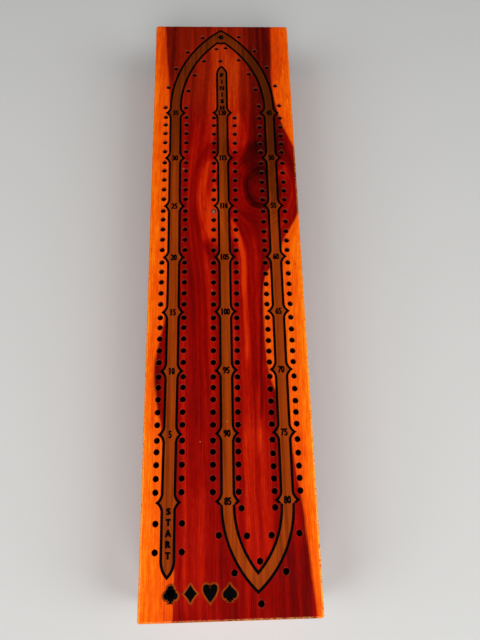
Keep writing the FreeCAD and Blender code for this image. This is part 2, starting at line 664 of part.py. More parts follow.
def make_drawer_side(label, side):
    """A drawer side. Its inner face is the body's own YZ plane."""
    body = new_body(label)
    outline = sketch_on(body, "outline")
    far = f"{DRAWER_END} + {SIDE_LENGTH}"
    rectangle(outline, "0", f"{side} * Sizes.side_thickness", DRAWER_END, far)
    pad(body, "stock", outline, DRAWER_HEIGHT)

    groove = sketch_on(body, "groove", role="XZ_Plane", out=f"-{DRAWER_END}")
    rectangle(groove, "0", f"{side} * Sizes.groove_depth", "Sizes.tray_raise", TRAY_TOP)
    pocket(body, "tray_groove", groove, SIDE_LENGTH)

    for name, face in (("front", FRONT_DIVIDER_FACE), ("rear", REAR_DIVIDER_FACE)):
        dado = sketch_on(body, f"{name}_dado", out=DRAWER_HEIGHT)
        rectangle(dado, "0", f"{side} * Sizes.dado_depth", face, f"{face} + Sizes.divider_thickness")
        pocket(body, f"{name}_dado_cut", dado, f"{DRAWER_HEIGHT} - {TRAY_TOP}")

    brads = sketch_on(body, "brad_places", role="YZ_Plane")
    circles(brads, brad_centres(FRONT_BRAD_Y) + brad_centres(BACK_BRAD_Y), "Sizes.brad_diameter")
    pocket(body, "brad_holes", brads, "Sizes.side_thickness", turned=side > 0)
    place(body, x=f"{side} * {DRAWER_INNER_HALF}", z=DRAWER_BASE)
    return body


def make_drawer_back():
    body = new_body("drawer_back")
    outline = sketch_on(body, "outline")
    rectangle(outline, f"-{DRAWER_INNER_HALF}", DRAWER_INNER_HALF, DRAWER_END, BACK_INNER)
    pad(body, "stock", outline, DRAWER_HEIGHT)
    tray_groove(body, BACK_INNER, turned=True)
    brad_holes(body, BACK_BRAD_Y)
    place(body, z=DRAWER_BASE)
    return body


def make_drawer_bottom():
    body = new_body("drawer_bottom")
    outline = sketch_on(body, "outline")
    half = f"({DRAWER_INNER_HALF} + {TRAY_BITE})"
    rectangle(outline, f"-{half}", half, f"{BACK_INNER} - {TRAY_BITE}", f"{FRONT_INNER} + {TRAY_BITE}")
    pad(body, "sheet", outline, "Sizes.tray_thickness")
    place(body, z=f"{DRAWER_BASE} + Sizes.tray_raise")
    return body


def make_divider(label, face):
    body = new_body(label)
    outline = sketch_on(body, "outline")
    half = f"({DRAWER_INNER_HALF} + Sizes.dado_depth - Sizes.panel_play)"
    rectangle(outline, f"-{half}", half, face, f"{face} + Sizes.divider_thickness")
    pad(body, "slip", outline, f"{DRAWER_HEIGHT} - {TRAY_TOP} - Sizes.divider_drop")
    place(body, z=PEG_FLOOR)
    return body


def make_brads(label, along):
    """Four brads through the sides into a drawer front or back."""
    body = new_body(label)
    sketch = sketch_on(body, "heads", role="YZ_Plane", out=DRAWER_HALF)
    circles(sketch, brad_centres(along), "Sizes.brad_diameter")
    pair = pad(body, "right_pair", sketch, "Sizes.brad_length", turned=True)
    mirror(body, "left_pair", [pair])
    place(body, z=DRAWER_BASE)
    return body


# ---------------------------------------------------------------------------------------------------------
# Knob and its screw, turned about an axis that points out of the drawer front
# ---------------------------------------------------------------------------------------------------------
OUTWARD = Rotation(Vector(1, 0, 0), -90)
KNOB_HEAD_BASE = "(Sizes.knob_flange_height + Sizes.knob_neck_length)"


def make_drawer_knob():
    body = new_body("drawer_knob")
    profile = sketch_on(body, "profile", role="XZ_Plane")
    polygon(profile, (
        ("Sizes.knob_screw_diameter / 2", "0"),
        ("Sizes.knob_flange / 2", "0"),
        ("Sizes.knob_flange / 2", "Sizes.knob_flange_height"),
        ("Sizes.knob_neck / 2", "Sizes.knob_flange_height"),
        ("Sizes.knob_neck / 2", KNOB_HEAD_BASE),
        ("Sizes.knob_diameter / 2", KNOB_HEAD_BASE),
        ("Sizes.knob_diameter / 2", "Sizes.knob_projection"),
        ("0", "Sizes.knob_projection"),
        ("0", "Sizes.knob_screw_reach"),
        ("Sizes.knob_screw_diameter / 2", "Sizes.knob_screw_reach"),
    ))
    revolution(body, "turned", profile)
    rims = edges_of(body.Tip, lambda e: same(e.XLength, sheet.knob_diameter) and same(e.ZLength, 0))
    fillet(body, "head_rims", rims, "Sizes.knob_round")
    roots = edges_of(body.Tip, lambda e: same(e.XLength, sheet.knob_neck) and same(e.ZLength, 0))
    fillet(body, "neck_roots", roots, "Sizes.knob_neck_round")
    body.Placement.Rotation = OUTWARD
    place(body, y=HALF_LENGTH, z=f"{DRAWER_BASE} + {FRONT_MIDDLE}")
    return body


def make_knob_screw():
    body = new_body("knob_screw")
    profile = sketch_on(body, "profile", role="XZ_Plane")
    tip = "Sizes.front_thickness + Sizes.knob_screw_reach"
    polygon(profile, (
        ("0", "-Sizes.knob_screw_head_height"),
        ("Sizes.knob_screw_head / 2", "-Sizes.knob_screw_head_height"),
        ("Sizes.knob_screw_head / 2", "0"),
        ("Sizes.knob_screw_diameter / 2", "0"),
        ("Sizes.knob_screw_diameter / 2", tip),
        ("0", tip),
    ))
    turned = revolution(body, "turned", profile)
    low = turned.Shape.BoundBox.ZMin
    rim = edges_of(turned, lambda e: same(e.ZMax, low) and same(e.XLength, sheet.knob_screw_head))
    fillet(body, "head_rim", rim, "Sizes.knob_screw_round")
    slot = sketch_on(body, "slot", out="-Sizes.knob_screw_head_height")
    half = "Sizes.slot_width / 2"
    rectangle(slot, "-Sizes.knob_screw_head", "Sizes.knob_screw_head", f"-{half}", half)
    pocket(body, "driver_slot", slot, "Sizes.slot_depth", turned=True)
    body.Placement.Rotation = OUTWARD
    place(body, y=FRONT_INNER, z=f"{DRAWER_BASE} + {FRONT_MIDDLE}")
    return body


# ---------------------------------------------------------------------------------------------------------
# Pegs, lying in the drawer on the tip and on the foot of the grip
# ---------------------------------------------------------------------------------------------------------
PEG_PLACES = (
    ("peg_1", -0.67, 0.30, 10.0),
    ("peg_2", 0.61, 0.62, 172.0),
    ("peg_3", -0.43, 0.95, -24.0),
    ("peg_4", 0.79, 1.75, 105.0),
)


def make_peg(label, across, behind, heading):
    """A turned peg. Its tip lies across from the drawer's middle, as a part of the half width, and behind the
    rear divider, in lengths of a peg. Its grip points along the heading, in degrees from the right."""
    body = new_body(label)
    profile = sketch_on(body, "profile", role="XZ_Plane")
    polygon(profile, (
        ("0", "0"),
        ("Sizes.peg_tip / 2", "0"),
        ("Sizes.peg_shank / 2", "Sizes.peg_shank_length"),
        ("Sizes.peg_head / 2", "Sizes.peg_shank_length"),
        ("Sizes.peg_head / 2", "Sizes.peg_length"),
        ("0", "Sizes.peg_length"),
    ))
    turned = revolution(body, "turned", profile)
    top = turned.Shape.BoundBox.ZMax
    rim = edges_of(turned, lambda e: same(e.ZMin, top) and same(e.XLength, sheet.peg_head))
    fillet(body, "grip_end", rim, "Sizes.peg_round")
    lift = "(atan((Sizes.peg_head - Sizes.peg_tip) / 2 / Sizes.peg_shank_length) / 1 deg)"
    flat = Rotation(Vector(0, 0, 1), heading).multVec(Vector(0, 1, 0))
    body.Placement.Rotation = Rotation(flat, 90)
    body.setExpression(".Placement.Rotation.Angle", f"90 - {lift}")
    tip_height = f"{PEG_FLOOR} + Sizes.peg_tip / 2 * cos({lift})"
    tip_across = f"{across} * {DRAWER_INNER_HALF}"
    tip_along = f"{REAR_DIVIDER_FACE} - {behind} * Sizes.peg_length"
    place(body, x=tip_across, y=tip_along, z=tip_height)
    return body


# ---------------------------------------------------------------------------------------------------------
# The whole box
# ---------------------------------------------------------------------------------------------------------
pieces = [
    make_top_board(),
    make_rail("left_rail", -1),
    make_rail("right_rail", 1),
    make_end_block(),
    make_bottom_panel(),
    make_bottom_screws(),
    make_end_block_dowels(),
    make_stop_screw(),
    make_drawer_front(),
    make_drawer_side("drawer_left_side", -1),
    make_drawer_side("drawer_right_side", 1),
    make_drawer_back(),
    make_drawer_bottom(),
    make_divider("front_divider", FRONT_DIVIDER_FACE),
    make_divider("rear_divider", REAR_DIVIDER_FACE),
    make_brads("drawer_front_brads", FRONT_BRAD_Y),
    make_brads("drawer_back_brads", BACK_BRAD_Y),
    make_drawer_knob(),
    make_knob_screw(),
]
for end_name, end in (("start", -1), ("finish", 1)):
    for side_name, side in (("left", -1), ("right", 1)):
        pieces.append(make_foot_pad(f"foot_pad_{end_name}_{side_name}", side, end))
for peg_place in PEG_PLACES:
    pieces.append(make_peg(*peg_place))

doc.recompute()
for item in doc.Objects:
    if {"Invalid", "Error"} & set(item.State):
        raise RuntimeError(f"{item.Label} failed: {item.State}")
for before, after in drilled:
    if after.Shape.Volume > before.Shape.Volume - TOLERANCE:
        raise RuntimeError(f"{after.Label} cut nothing")

os.makedirs("parts", exist_ok=True)
for piece in pieces:
    shape = piece.Shape
    if shape.isNull() or not shape.isValid():
        raise RuntimeError(f"{piece.Label} has no sound shape")
    shape.exportStep(f"parts/{piece.Label}.step")
    box = shape.optimalBoundingBox()
    print(f"{piece.Label:22s} {len(shape.Solids):3d} solid(s) {shape.Volume / 1000:9.3f} cm3"
          f"   x {box.XMin:8.2f} {box.XMax:8.2f}   y {box.YMin:8.2f} {box.YMax:8.2f}"
          f"   z {box.ZMin:6.2f} {box.ZMax:6.2f}")

whole = Part.makeCompound([piece.Shape for piece in pieces]).optimalBoundingBox()
print(f"whole box {whole.XLength:.2f} x {whole.YLength:.2f} x {whole.ZLength:.2f} mm, {len(pieces)} pieces")
back_face = doc.getObject("drawer_back").Shape.BoundBox.YMax
stop_face = doc.getObject("stop_screw").Shape.BoundBox.YMin
stop_face += (sheet.stop_head - sheet.stop_diameter) / 2
print(f"drawer travel before the stop screw: {stop_face - back_face:.2f} mm")
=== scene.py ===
# %% [markdown]
# # Dressing a cribbage box
# The box itself is already a solid model: a long cedar board drilled with peg holes, glued over two rails
# and an end block, with a drawer that slides out of the far end on a brass knob. This lesson gives every
# piece its finish, prints the track on the board, and sets the box on a pale floor under soft light. The
# solid model is loaded as a fixed frame: nothing in it is moved, so each new piece is placed by measuring it.

# %% The fixed frame
import math
import re
import bmesh
import bpy
from mathutils import Matrix, Vector, noise


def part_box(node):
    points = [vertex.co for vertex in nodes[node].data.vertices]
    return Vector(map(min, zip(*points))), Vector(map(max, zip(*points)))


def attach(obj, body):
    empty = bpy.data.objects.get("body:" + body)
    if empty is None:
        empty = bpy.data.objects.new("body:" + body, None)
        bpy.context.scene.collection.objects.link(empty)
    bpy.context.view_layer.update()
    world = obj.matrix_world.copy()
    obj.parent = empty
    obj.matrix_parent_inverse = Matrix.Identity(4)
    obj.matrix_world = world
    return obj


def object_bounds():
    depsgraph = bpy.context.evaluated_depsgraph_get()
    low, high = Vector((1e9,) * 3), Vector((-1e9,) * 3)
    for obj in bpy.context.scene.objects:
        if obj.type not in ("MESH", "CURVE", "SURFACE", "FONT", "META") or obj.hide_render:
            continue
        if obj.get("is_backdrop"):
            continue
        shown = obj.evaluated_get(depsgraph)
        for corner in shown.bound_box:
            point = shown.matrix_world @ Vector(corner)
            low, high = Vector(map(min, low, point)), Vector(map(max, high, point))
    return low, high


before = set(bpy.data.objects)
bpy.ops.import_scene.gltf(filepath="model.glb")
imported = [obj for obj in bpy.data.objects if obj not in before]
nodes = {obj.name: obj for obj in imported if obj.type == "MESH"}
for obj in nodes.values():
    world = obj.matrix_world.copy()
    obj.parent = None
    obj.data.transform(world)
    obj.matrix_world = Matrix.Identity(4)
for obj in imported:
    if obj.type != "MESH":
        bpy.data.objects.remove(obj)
cad_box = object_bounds()

# %% [markdown]
# ## Measures
# Blender works in metres, but a maker thinks of this box in millimetres. The board's own zero is the middle
# of its top face, with y growing towards the FINISH end, and everything printed on it is placed from there.

# %% Millimetres, and the board's own zero
MM = 0.001
board_low, board_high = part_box("top_board")
BOARD_ZERO = Vector(((board_low.x + board_high.x) / 2, (board_low.y + board_high.y) / 2, board_high.z))
HALF_WIDTH = (board_high.x - board_low.x) / 2 / MM
HALF_LENGTH = (board_high.y - board_low.y) / 2 / MM
TOP_THICKNESS = (board_high.z - board_low.z) / MM


def on_board(across, along, lift=0.0):
    """A point over the board's top face, from millimetres to metres."""
    return BOARD_ZERO + Vector((across, along, lift)) * MM


print("board, mm:", [round(2 * size, 2) for size in (HALF_WIDTH, HALF_LENGTH)], round(TOP_THICKNESS, 2))

# %% [markdown]
# ## Camera
# Someone holds the camera over the near end of the box and looks down the track, so the far end looks narrow.
# A camera could be aimed with a constraint, but a place, a line of sight and an up direction say it exactly.

# %% Camera over the near end
CAMERA_PLACE = Vector((-1.9, -128.6, 334.975))
LINE_OF_SIGHT = Vector((0.033, 0.293, -0.956))
CAMERA_UP = Vector((0.014, 0.956, 0.293))
LENS = 28.17
UPRIGHT_SENSOR = 36.0

camera_data = bpy.data.cameras.new("over_the_start")
camera_data.sensor_fit = "VERTICAL"
camera_data.sensor_height = UPRIGHT_SENSOR
camera_data.lens = LENS
camera = bpy.data.objects.new("over_the_start", camera_data)
backwards = -LINE_OF_SIGHT.normalized()
rightwards = CAMERA_UP.cross(backwards).normalized()
upwards = backwards.cross(rightwards)
turned = Matrix((rightwards, upwards, backwards)).transposed().to_4x4()
camera.matrix_world = Matrix.Translation(CAMERA_PLACE * MM) @ turned
bpy.context.scene.collection.objects.link(camera)
bpy.context.scene.camera = camera
print("camera height, mm:", CAMERA_PLACE.z)

# %% [markdown]
# ## Soft light
# Varnish mirrors whatever is above it, so one big light overhead would lay a grey veil over the red wood. Two
# tall soft boxes stand to the sides instead, where the rounded edges catch them and the flat top doesn't, and
# a third leans over the near end, which makes that end a little brighter than the far one.

# %% Soft boxes and a dim room
SOFT_BOXES = (
    ("left_soft_box", (-1.1, -0.4, 1.05), (0, -0.02, 0), (0.9, 1.2)),
    ("right_soft_box", (1.1, -0.35, 1.0), (0, -0.02, 0), (0.8, 1.1)),
    ("near_soft_box", (0.05, -1.25, 0.95), (0, -0.1, 0), (0.9, 0.6)),
)
SOFT_BOX_POWER = 14.0
ROOM_TINT = (0.93, 0.95, 1.0, 1.0)
ROOM_STRENGTH = 0.02


def soft_box(name, place, aim, size):
    light = bpy.data.lights.new(name, "AREA")
    light.shape = "RECTANGLE"
    light.size, light.size_y = size
    light.energy = SOFT_BOX_POWER
    holder = bpy.data.objects.new(name, light)
    holder.location = place
    holder.rotation_mode = "QUATERNION"
    holder.rotation_quaternion = (Vector(aim) - Vector(place)).to_track_quat("-Z", "Y")
    bpy.context.scene.collection.objects.link(holder)


for box in SOFT_BOXES:
    soft_box(*box)
room = bpy.data.worlds.new("pale_room")
room.use_nodes = True
air = room.node_tree.nodes["Background"].inputs
air["Color"].default_value = ROOM_TINT
air["Strength"].default_value = ROOM_STRENGTH
bpy.context.scene.world = room
bpy.context.scene.view_settings.view_transform = "Standard"

# %% [markdown]
# ## A bench for wiring finishes
# Each finish is a net of shader nodes. Made by hand in the editor, that is a lot of dragging, and written out
# plainly it is a lot of lines. A small bench keeps it short: it adds a node, sets its values and plugs its
# sockets in one call, and has a name for each tool that wood, brass and ink need.

# %% The wiring bench
BRIGHTEST = 255.0


def tone(red, green, blue):
    """A colour as a screen shows it, 0 to 255, turned into the plain light values that shaders use."""
    shares = [value / BRIGHTEST for value in (red, green, blue)]
    light = [s / 12.92 if s <= 0.04045 else ((s + 0.055) / 1.055) ** 2.4 for s in shares]
    return (*light, 1.0)


def tone_steps(*steps):
    """The stops of a colour ramp, each given as its place and its red, green and blue."""
    return [(place, tone(*colour)) for place, *colour in steps]


class Bench:
    """Adds and wires shader nodes in one node tree."""

    def __init__(self, tree):
        self.tree = tree

    def add(self, kind, sockets=(), **settings):
        made = self.tree.nodes.new("ShaderNode" + kind)
        for word, value in settings.items():
            setattr(made, word, value)
        self.plug(made, sockets)
        return made

    def plug(self, made, sockets):
        pairs = sockets.items() if isinstance(sockets, dict) else enumerate(sockets)
        for socket, value in pairs:
            if isinstance(value, bpy.types.NodeSocket):
                self.tree.links.new(value, made.inputs[socket])
            elif value is not None:
                made.inputs[socket].default_value = value

    def math(self, operation, *values):
        return self.add("Math", values, operation=operation).outputs[0]

    def minus(self, value, less):
        return self.math("SUBTRACT", value, less)

    def times(self, value, factor):
        return self.math("MULTIPLY", value, factor)

    def over(self, value, divisor):
        return self.math("DIVIDE", value, divisor)

    def scaled(self, value, factor, offset):
        """The value times a factor, plus an offset."""
        return self.math("MULTIPLY_ADD", value, factor, offset)

    def total(self, result, *others):
        for value in others:
            result = self.math("ADD", result, value)
        return result

    def weighed(self, *terms):
        """Adds up its terms. A term is a value, or a pair of a value and its weight."""
        return self.total(*[self.times(*term) if isinstance(term, tuple) else term for term in terms])

    def between(self, value, start, end, low=0.0, high=1.0):
        """Runs smoothly from low to high as the value goes from start to end."""
        sockets = (value, start, end, low, high)
        return self.add("MapRange", sockets, interpolation_type="SMOOTHSTEP").outputs[0]

    def plain_range(self, value, start, end):
        """Runs evenly from 0 to 1 as the value goes from start to end."""
        return self.add("MapRange", (value, start, end)).outputs[0]

    def split(self, vector):
        return self.add("SeparateXYZ", (vector,)).outputs

    def join(self, x, y, z=0.0):
        return self.add("CombineXYZ", (x, y, z)).outputs[0]

    def stretch(self, vector, factors):
        return self.add("VectorMath", (vector, factors), operation="MULTIPLY").outputs[0]

    def shift(self, vector, offset):
        return self.add("VectorMath", (vector, offset), operation="ADD").outputs[0]

    def length(self, vector):
        return self.add("VectorMath", (vector,), operation="LENGTH").outputs["Value"]

    def cloud(self, place, scale, detail=2.0, roughness=0.5, distortion=0.0):
        """Soft noise. The scale is one value, or three where the noise is drawn out along a side."""
        if isinstance(scale, tuple):
            place, scale = self.stretch(place, scale), 1.0
        sockets = {"Vector": place, "Scale": scale, "Detail": detail}
        sockets.update({"Roughness": roughness, "Distortion": distortion})
        return self.add("TexNoise", sockets).outputs[0]

    def mix(self, share, low, high):
        """Goes from the low colour to the high one as the share goes from 0 to 1."""
        return self.add("Mix", {0: share, 6: low, 7: high}, data_type="RGBA").outputs[2]

    def tones(self, share, stops):
        """A colour ramp: stops are (place, colour) pairs."""
        ramp = self.add("ValToRGB", (share,))
        elements = ramp.color_ramp.elements
        while len(elements) < len(stops):
            elements.new(1.0)
        for element, (place, colour) in zip(elements, stops):
            element.position = place
            element.color = colour
        return ramp.outputs[0]

    def relief(self, height, strength, depth, normal=None):
        """A bump: how strongly the height shows, and how many millimetres deep it is."""
        sockets = {"Strength": strength, "Distance": depth * MM, "Height": height, "Normal": normal}
        return self.add("Bump", sockets).outputs[0]

    def group(self, group, **sockets):
        made = self.tree.nodes.new("ShaderNodeGroup")
        made.node_tree = group
        self.plug(made, {word.replace("_", " "): value for word, value in sockets.items()})
        return made.outputs


def new_group(name, takes, gives):
    """An empty node group with named sockets. Returns it with its bench, its inputs and its output node."""
    group = bpy.data.node_groups.new(name, "ShaderNodeTree")
    for sockets, direction in ((takes, "INPUT"), (gives, "OUTPUT")):
        for word, kind in sockets.items():
            group.interface.new_socket(word, in_out=direction, socket_type="NodeSocket" + kind)
    given = group.nodes.new("NodeGroupInput").outputs
    return group, Bench(group), given, group.nodes.new("NodeGroupOutput")


def new_finish(name, **plain):
    """A material with one Principled shader. Plain values are set on the shader's own sockets."""
    finish = bpy.data.materials.new(name)
    finish.use_nodes = True
    bench = Bench(finish.node_tree)
    shader = finish.node_tree.nodes["Principled BSDF"]
    bench.plug(shader, {word.replace("_", " "): value for word, value in plain.items()})
    return finish, bench, shader


def place_in_mm(bench, offset=(0.0, 0.0, 0.0)):
    """Where a point of the box is, in millimetres, from its own mesh, so that it follows the drawer."""
    place = bench.add("TexCoord").outputs["Object"]
    return bench.shift(bench.stretch(place, (1 / MM, 1 / MM, 1 / MM)), offset)


def place_on_board(bench):
    """Where a point is from the board's own zero, in millimetres."""
    return place_in_mm(bench, tuple(-BOARD_ZERO / MM))


print("a mid tone as light:", [round(v, 3) for v in tone(128, 128, 128)])

# %% [markdown]
# ## Grain that every wood shares
# All the woods in this box are planks: long fibres, and rings that show as bands along the plank and as arcs
# on its sawn ends. One group makes both from the place in the plank, with the grain along y. A wave texture
# gives rings as even as corduroy, so the bands come from noise that is stretched along the grain instead.

# %% Group: wood_grain


def make_wood_grain():
    takes = {"Place": "Vector", "Ring width": "Float", "Fibre width": "Float", "Wander": "Float"}
    group, bench, given, out = new_group("wood_grain", takes, {"Rings": "Float", "Fibre": "Float"})
    x, y, z = bench.split(given["Place"])
    drift = bench.minus(bench.cloud(given["Place"], (0.03, 0.009, 0.03), detail=1.0), 0.5)
    drift = bench.times(drift, given["Wander"])
    across = bench.total(x, bench.times(z, 0.4), drift)
    ring = bench.over(across, given["Ring width"])
    slow = bench.times(y, 0.004)
    rings = bench.cloud(bench.join(ring, slow), 1.0, detail=1.0, roughness=0.3)
    rings = bench.between(rings, 0.3, 0.7)
    thread = bench.over(across, given["Fibre width"])
    run = bench.times(y, 0.05)
    depth = bench.over(z, given["Fibre width"])
    fibre = bench.cloud(bench.join(thread, run, depth), 1.0, detail=3.0, roughness=0.6)
    bench.plug(out, {"Rings": rings, "Fibre": bench.between(fibre, 0.28, 0.72)})
    return group


WOOD_GRAIN = make_wood_grain()
print("wood_grain gives:", [s.name for s in WOOD_GRAIN.interface.items_tree if s.in_out == "OUTPUT"])

# %% [markdown]
# ## Edges eased by hands
# Sharp corners of a used box are rubbed round and a little pale. A bevel could be cut in each mesh, but the
# frame's meshes stay as they are, so the Bevel node rounds the light on the edge, and where its rounded
# normal leaves the flat one, there the edge is. The same group breaks the mask up, as wear is never even.

# %% Group: eased_edges


def make_eased_edges():
    takes = {"Place": "Vector", "Radius": "Float"}
    group, bench, given, out = new_group("eased_edges", takes, {"Edge": "Float", "Normal": "Vector"})
    radius = bench.times(given["Radius"], MM)
    rounded = bench.add("Bevel", (radius,), samples=4).outputs[0]
    flat = bench.add("NewGeometry").outputs["Normal"]
    agree = bench.add("VectorMath", (rounded, flat), operation="DOT_PRODUCT").outputs["Value"]
    edge = bench.between(agree, 0.995, 0.86)
    patchy = bench.cloud(given["Place"], 0.22, detail=4.0, roughness=0.7)
    worn = bench.times(edge, bench.between(patchy, 0.36, 0.6))
    bench.plug(out, {"Edge": worn, "Normal": rounded})
    return group


EASED_EDGES = make_eased_edges()
print("eased_edges takes:", [s.name for s in EASED_EDGES.interface.items_tree if s.in_out == "INPUT"])

# %% [markdown]
# ## Handling marks
# Varnish, brass and plastic all collect fine scuffs and a little dust. This group gives a mask of short
# scratches in two directions and soft smudges between them, and each finish decides what that mask does.

# %% Group: handling_marks


def make_handling_marks():
    takes = {"Place": "Vector", "Scale": "Float"}
    group, bench, given, out = new_group("handling_marks", takes, {"Scratches": "Float", "Smudges": "Float"})
    lines = []
    for stretch in ((3.0, 0.12, 1.0), (0.2, 2.4, 1.0)):
        drawn_out = bench.stretch(given["Place"], stretch)
        noisy = bench.cloud(drawn_out, given["Scale"], detail=2.0, distortion=0.4)
        away = bench.math("ABSOLUTE", bench.minus(noisy, 0.5))
        lines.append(bench.between(away, 0.02, 0.0))
    where = bench.cloud(given["Place"], 0.06, detail=2.0)
    scratches = bench.times(bench.math("MAXIMUM", *lines), bench.between(where, 0.45, 0.62))
    smudges = bench.between(bench.cloud(given["Place"], 0.045, detail=3.0, distortion=0.8), 0.35, 0.7)
    bench.plug(out, {"Scratches": scratches, "Smudges": smudges})
    return group


HANDLING_MARKS = make_handling_marks()
print("handling_marks is ready:", HANDLING_MARKS.name)

# %% [markdown]
# ## One streak of the cedar's figure
# Cedar is not one red. Seen from above, darker and brighter stripes run up the board, each with its own
# place, width and reach. One small group makes one soft stripe, and the board then lays down as many as it
# needs. It reads "Across", a distance that is already bent round the knot, so the stripes flow round it too.

# %% Group: wood_streak
STREAK_FADE = 16.0


def make_wood_streak():
    words = ("Across", "Along", "Centre", "Half width", "Near end", "Far end", "Lean")
    group, bench, given, out = new_group("wood_streak", dict.fromkeys(words, "Float"), {"Mask": "Float"})
    from_near = bench.minus(given["Along"], given["Near end"])
    to_far = bench.minus(given["Far end"], given["Along"])
    leaned = bench.times(from_near, given["Lean"])
    away = bench.minus(bench.minus(given["Across"], given["Centre"]), leaned)
    share = bench.over(bench.math("ABSOLUTE", away), given["Half width"])
    ends = [bench.between(value, -STREAK_FADE / 2, STREAK_FADE / 2) for value in (from_near, to_far)]
    bench.plug(out, {"Mask": bench.times(bench.between(share, 1.0, 0.2), bench.times(*ends))})
    return group


WOOD_STREAK = make_wood_streak()
print("wood_streak fades over, mm:", STREAK_FADE)

# %% [markdown]
# ## The board's figure
# This board was sawn near the bark on both sides, so a strip of orange sapwood runs along each long edge and
# the red heartwood fills the middle. A painted mask could part them, but two curves with a few points each,
# one for each side, say along the board where heartwood turns into sapwood, and are easy to move.

# %% The sapwood's inner edges, as curves along the board
LEFT_SAPWOOD = (
    (-200, -30.8), (-165, -30.4), (-130, -34.5), (-95, -38.7), (-80, -41.5), (-64, -43), (-48, -41),
    (-30, -37.3), (110, -37.2), (150, -38.8), (200, -42),
)
RIGHT_SAPWOOD = (
    (-200, 45.8), (-180, 43.7), (-158, 41.8), (-138, 40.3), (-120, 37.4), (-92, 34), (-66, 25), (-30, 23.2),
    (-6, 24.5), (6, 33), (20, 37.2), (30, 42.4), (38, 46.8), (50, 51), (80, 51), (92, 47.4), (104, 42.5),
    (116, 38.7), (132, 35.8), (165, 35.5), (200, 36.6),
)
CURVE_REACH = 200.0
CURVE_WIDTH = 60.0


def curve_along(bench, along, points):
    """A distance across the board, in mm, that changes along it as the points say."""
    curve = bench.add("FloatCurve", {"Value": bench.plain_range(along, -CURVE_REACH, CURVE_REACH)})
    line = curve.mapping.curves[0]
    spots = [((y + CURVE_REACH) / (2 * CURVE_REACH), (x + CURVE_WIDTH) / (2 * CURVE_WIDTH))
             for y, x in points]
    line.points[0].location = spots[0]
    line.points[1].location = spots[-1]
    for spot in spots[1:-1]:
        line.points.new(*spot)
    curve.mapping.update()
    return bench.scaled(curve.outputs[0], 2 * CURVE_WIDTH, -CURVE_WIDTH)


print("points on the sapwood curves:", len(LEFT_SAPWOOD), len(RIGHT_SAPWOOD))

# %% [markdown]
# The stripes that make the heartwood lively are given one by one, as a painter who grains a door would lay
# them: name, centre and half width across the grain, near and far end along it, how far it leans in a
# millimetre, and how much brighter or darker it is than the plain red.

# %% Stripes of the heartwood
STREAKS = (
    ("far_left_maroon", -34.0, 10.0, 148, 215, 0.0, -0.24),
    ("far_mid_left", -16.0, 9.0, 176, 215, 0.0, -0.14),
    ("far_right_maroon", 27.0, 15.0, 88, 215, -0.01, -0.33),
    ("beside_right_lane", 19.0, 4.5, 96, 160, -0.01, 0.09),
    ("finish_right_glow", 8.5, 6.0, 116, 168, 0.0, 0.16),
    ("bright_arch", 1.5, 13.0, 96, 182, 0.0, 0.22),
    ("arch_left_shade", -17.5, 5.0, 92, 160, -0.03, -0.12),
    ("lane_35_glow", -25.5, 4.0, 20, 150, 0.0, 0.12),
    ("left_of_lens", -13.5, 4.5, 45, 110, 0.0, 0.13),
    ("below_lens", -18.0, 7.0, -30, 14, 0.0, -0.06),
    ("bright_line", 12.8, 2.6, -58, 30, 0.0, 0.26),
    ("flame", 12.3, 4.2, -14, 28, 0.0, 0.17),
    ("beside_bright_line", 16.0, 2.0, -50, 10, 0.0, 0.06),
    ("shade_line", 18.8, 1.5, -92, 10, 0.05, -0.25),
    ("right_of_shade", 21.5, 2.5, -70, 6, 0.0, 0.10),
    ("mid_right_glow", 13.0, 6.5, -104, -48, 0.0, 0.05),
    ("bright_90", 17.5, 2.2, -112, -76, 0.0, 0.24),
    ("left_heart_patch", -40.0, 4.0, -98, -44, 0.0, -0.32),
    ("middle_shade", -9.5, 4.5, -150, -10, 0.0, -0.04),
    ("left_of_centre_lane", -7.5, 4.0, -84, 8, 0.0, 0.13),
    ("right_of_centre_lane", 6.0, 4.5, -84, 2, 0.0, 0.12),
    ("left_middle_glow", -17.5, 6.5, -180, -96, 0.0, 0.08),
    ("lane_5_glow", -25.5, 5.0, -190, -40, 0.0, 0.15),
    ("vee_glow", 15.0, 13.0, -176, -96, 0.0, 0.17),
    ("left_near_glow", -17.0, 8.0, -192, -130, 0.0, 0.10),
    ("near_mid_shade", 2.5, 7.0, -215, -160, -0.05, -0.14),
    ("below_vee", 22.0, 4.0, -215, -168, 0.0, -0.16),
    ("near_right_maroon", 34.0, 12.0, -215, -160, 0.0, -0.14),
    ("near_right_edge", 39.0, 5.0, -215, -140, 0.0, -0.05),
)
PLAIN_RED = 0.57
print("streaks in the heartwood:", len(STREAKS))

# %% [markdown]
# A knot lies under the far right of the track, and the grain runs round it as water runs round a post: the
# distance across the grain is pushed aside near the knot by the formula for such a flow. Displaced noise
# would blur the grain there, and this formula keeps its lines whole.

# %% Grain that parts round the knot
KNOT = (23.0, 58.0)
KNOT_SIZE = 19.0
KNOT_LENGTH = 1.15


def flow_round_knot(bench, x, y):
    """The distance across the grain, for a point of the board, with the grain lines parted by the knot."""
    from_knot = bench.minus(x, KNOT[0])
    past_knot = bench.over(bench.minus(y, KNOT[1]), KNOT_LENGTH)
    squares = bench.total(bench.math("POWER", from_knot, 2.0), bench.math("POWER", past_knot, 2.0))
    share = bench.over(KNOT_SIZE ** 2, bench.math("MAXIMUM", squares, KNOT_SIZE ** 2))
    return bench.minus(x, bench.times(from_knot, share))


print("the knot parts the grain over, mm:", KNOT_SIZE)

# %% [markdown]
# The knot has parts of its own: a dark eye with a rim and faint rings, a cloud of maroon over it, a duller
# patch under it, and on the other side of the centre lane a bright lens, where the grain that it pushed aside
# closes up again. A cloud is a middle, a length for one unit of width, the distances where it starts and is
# full, and its strength.

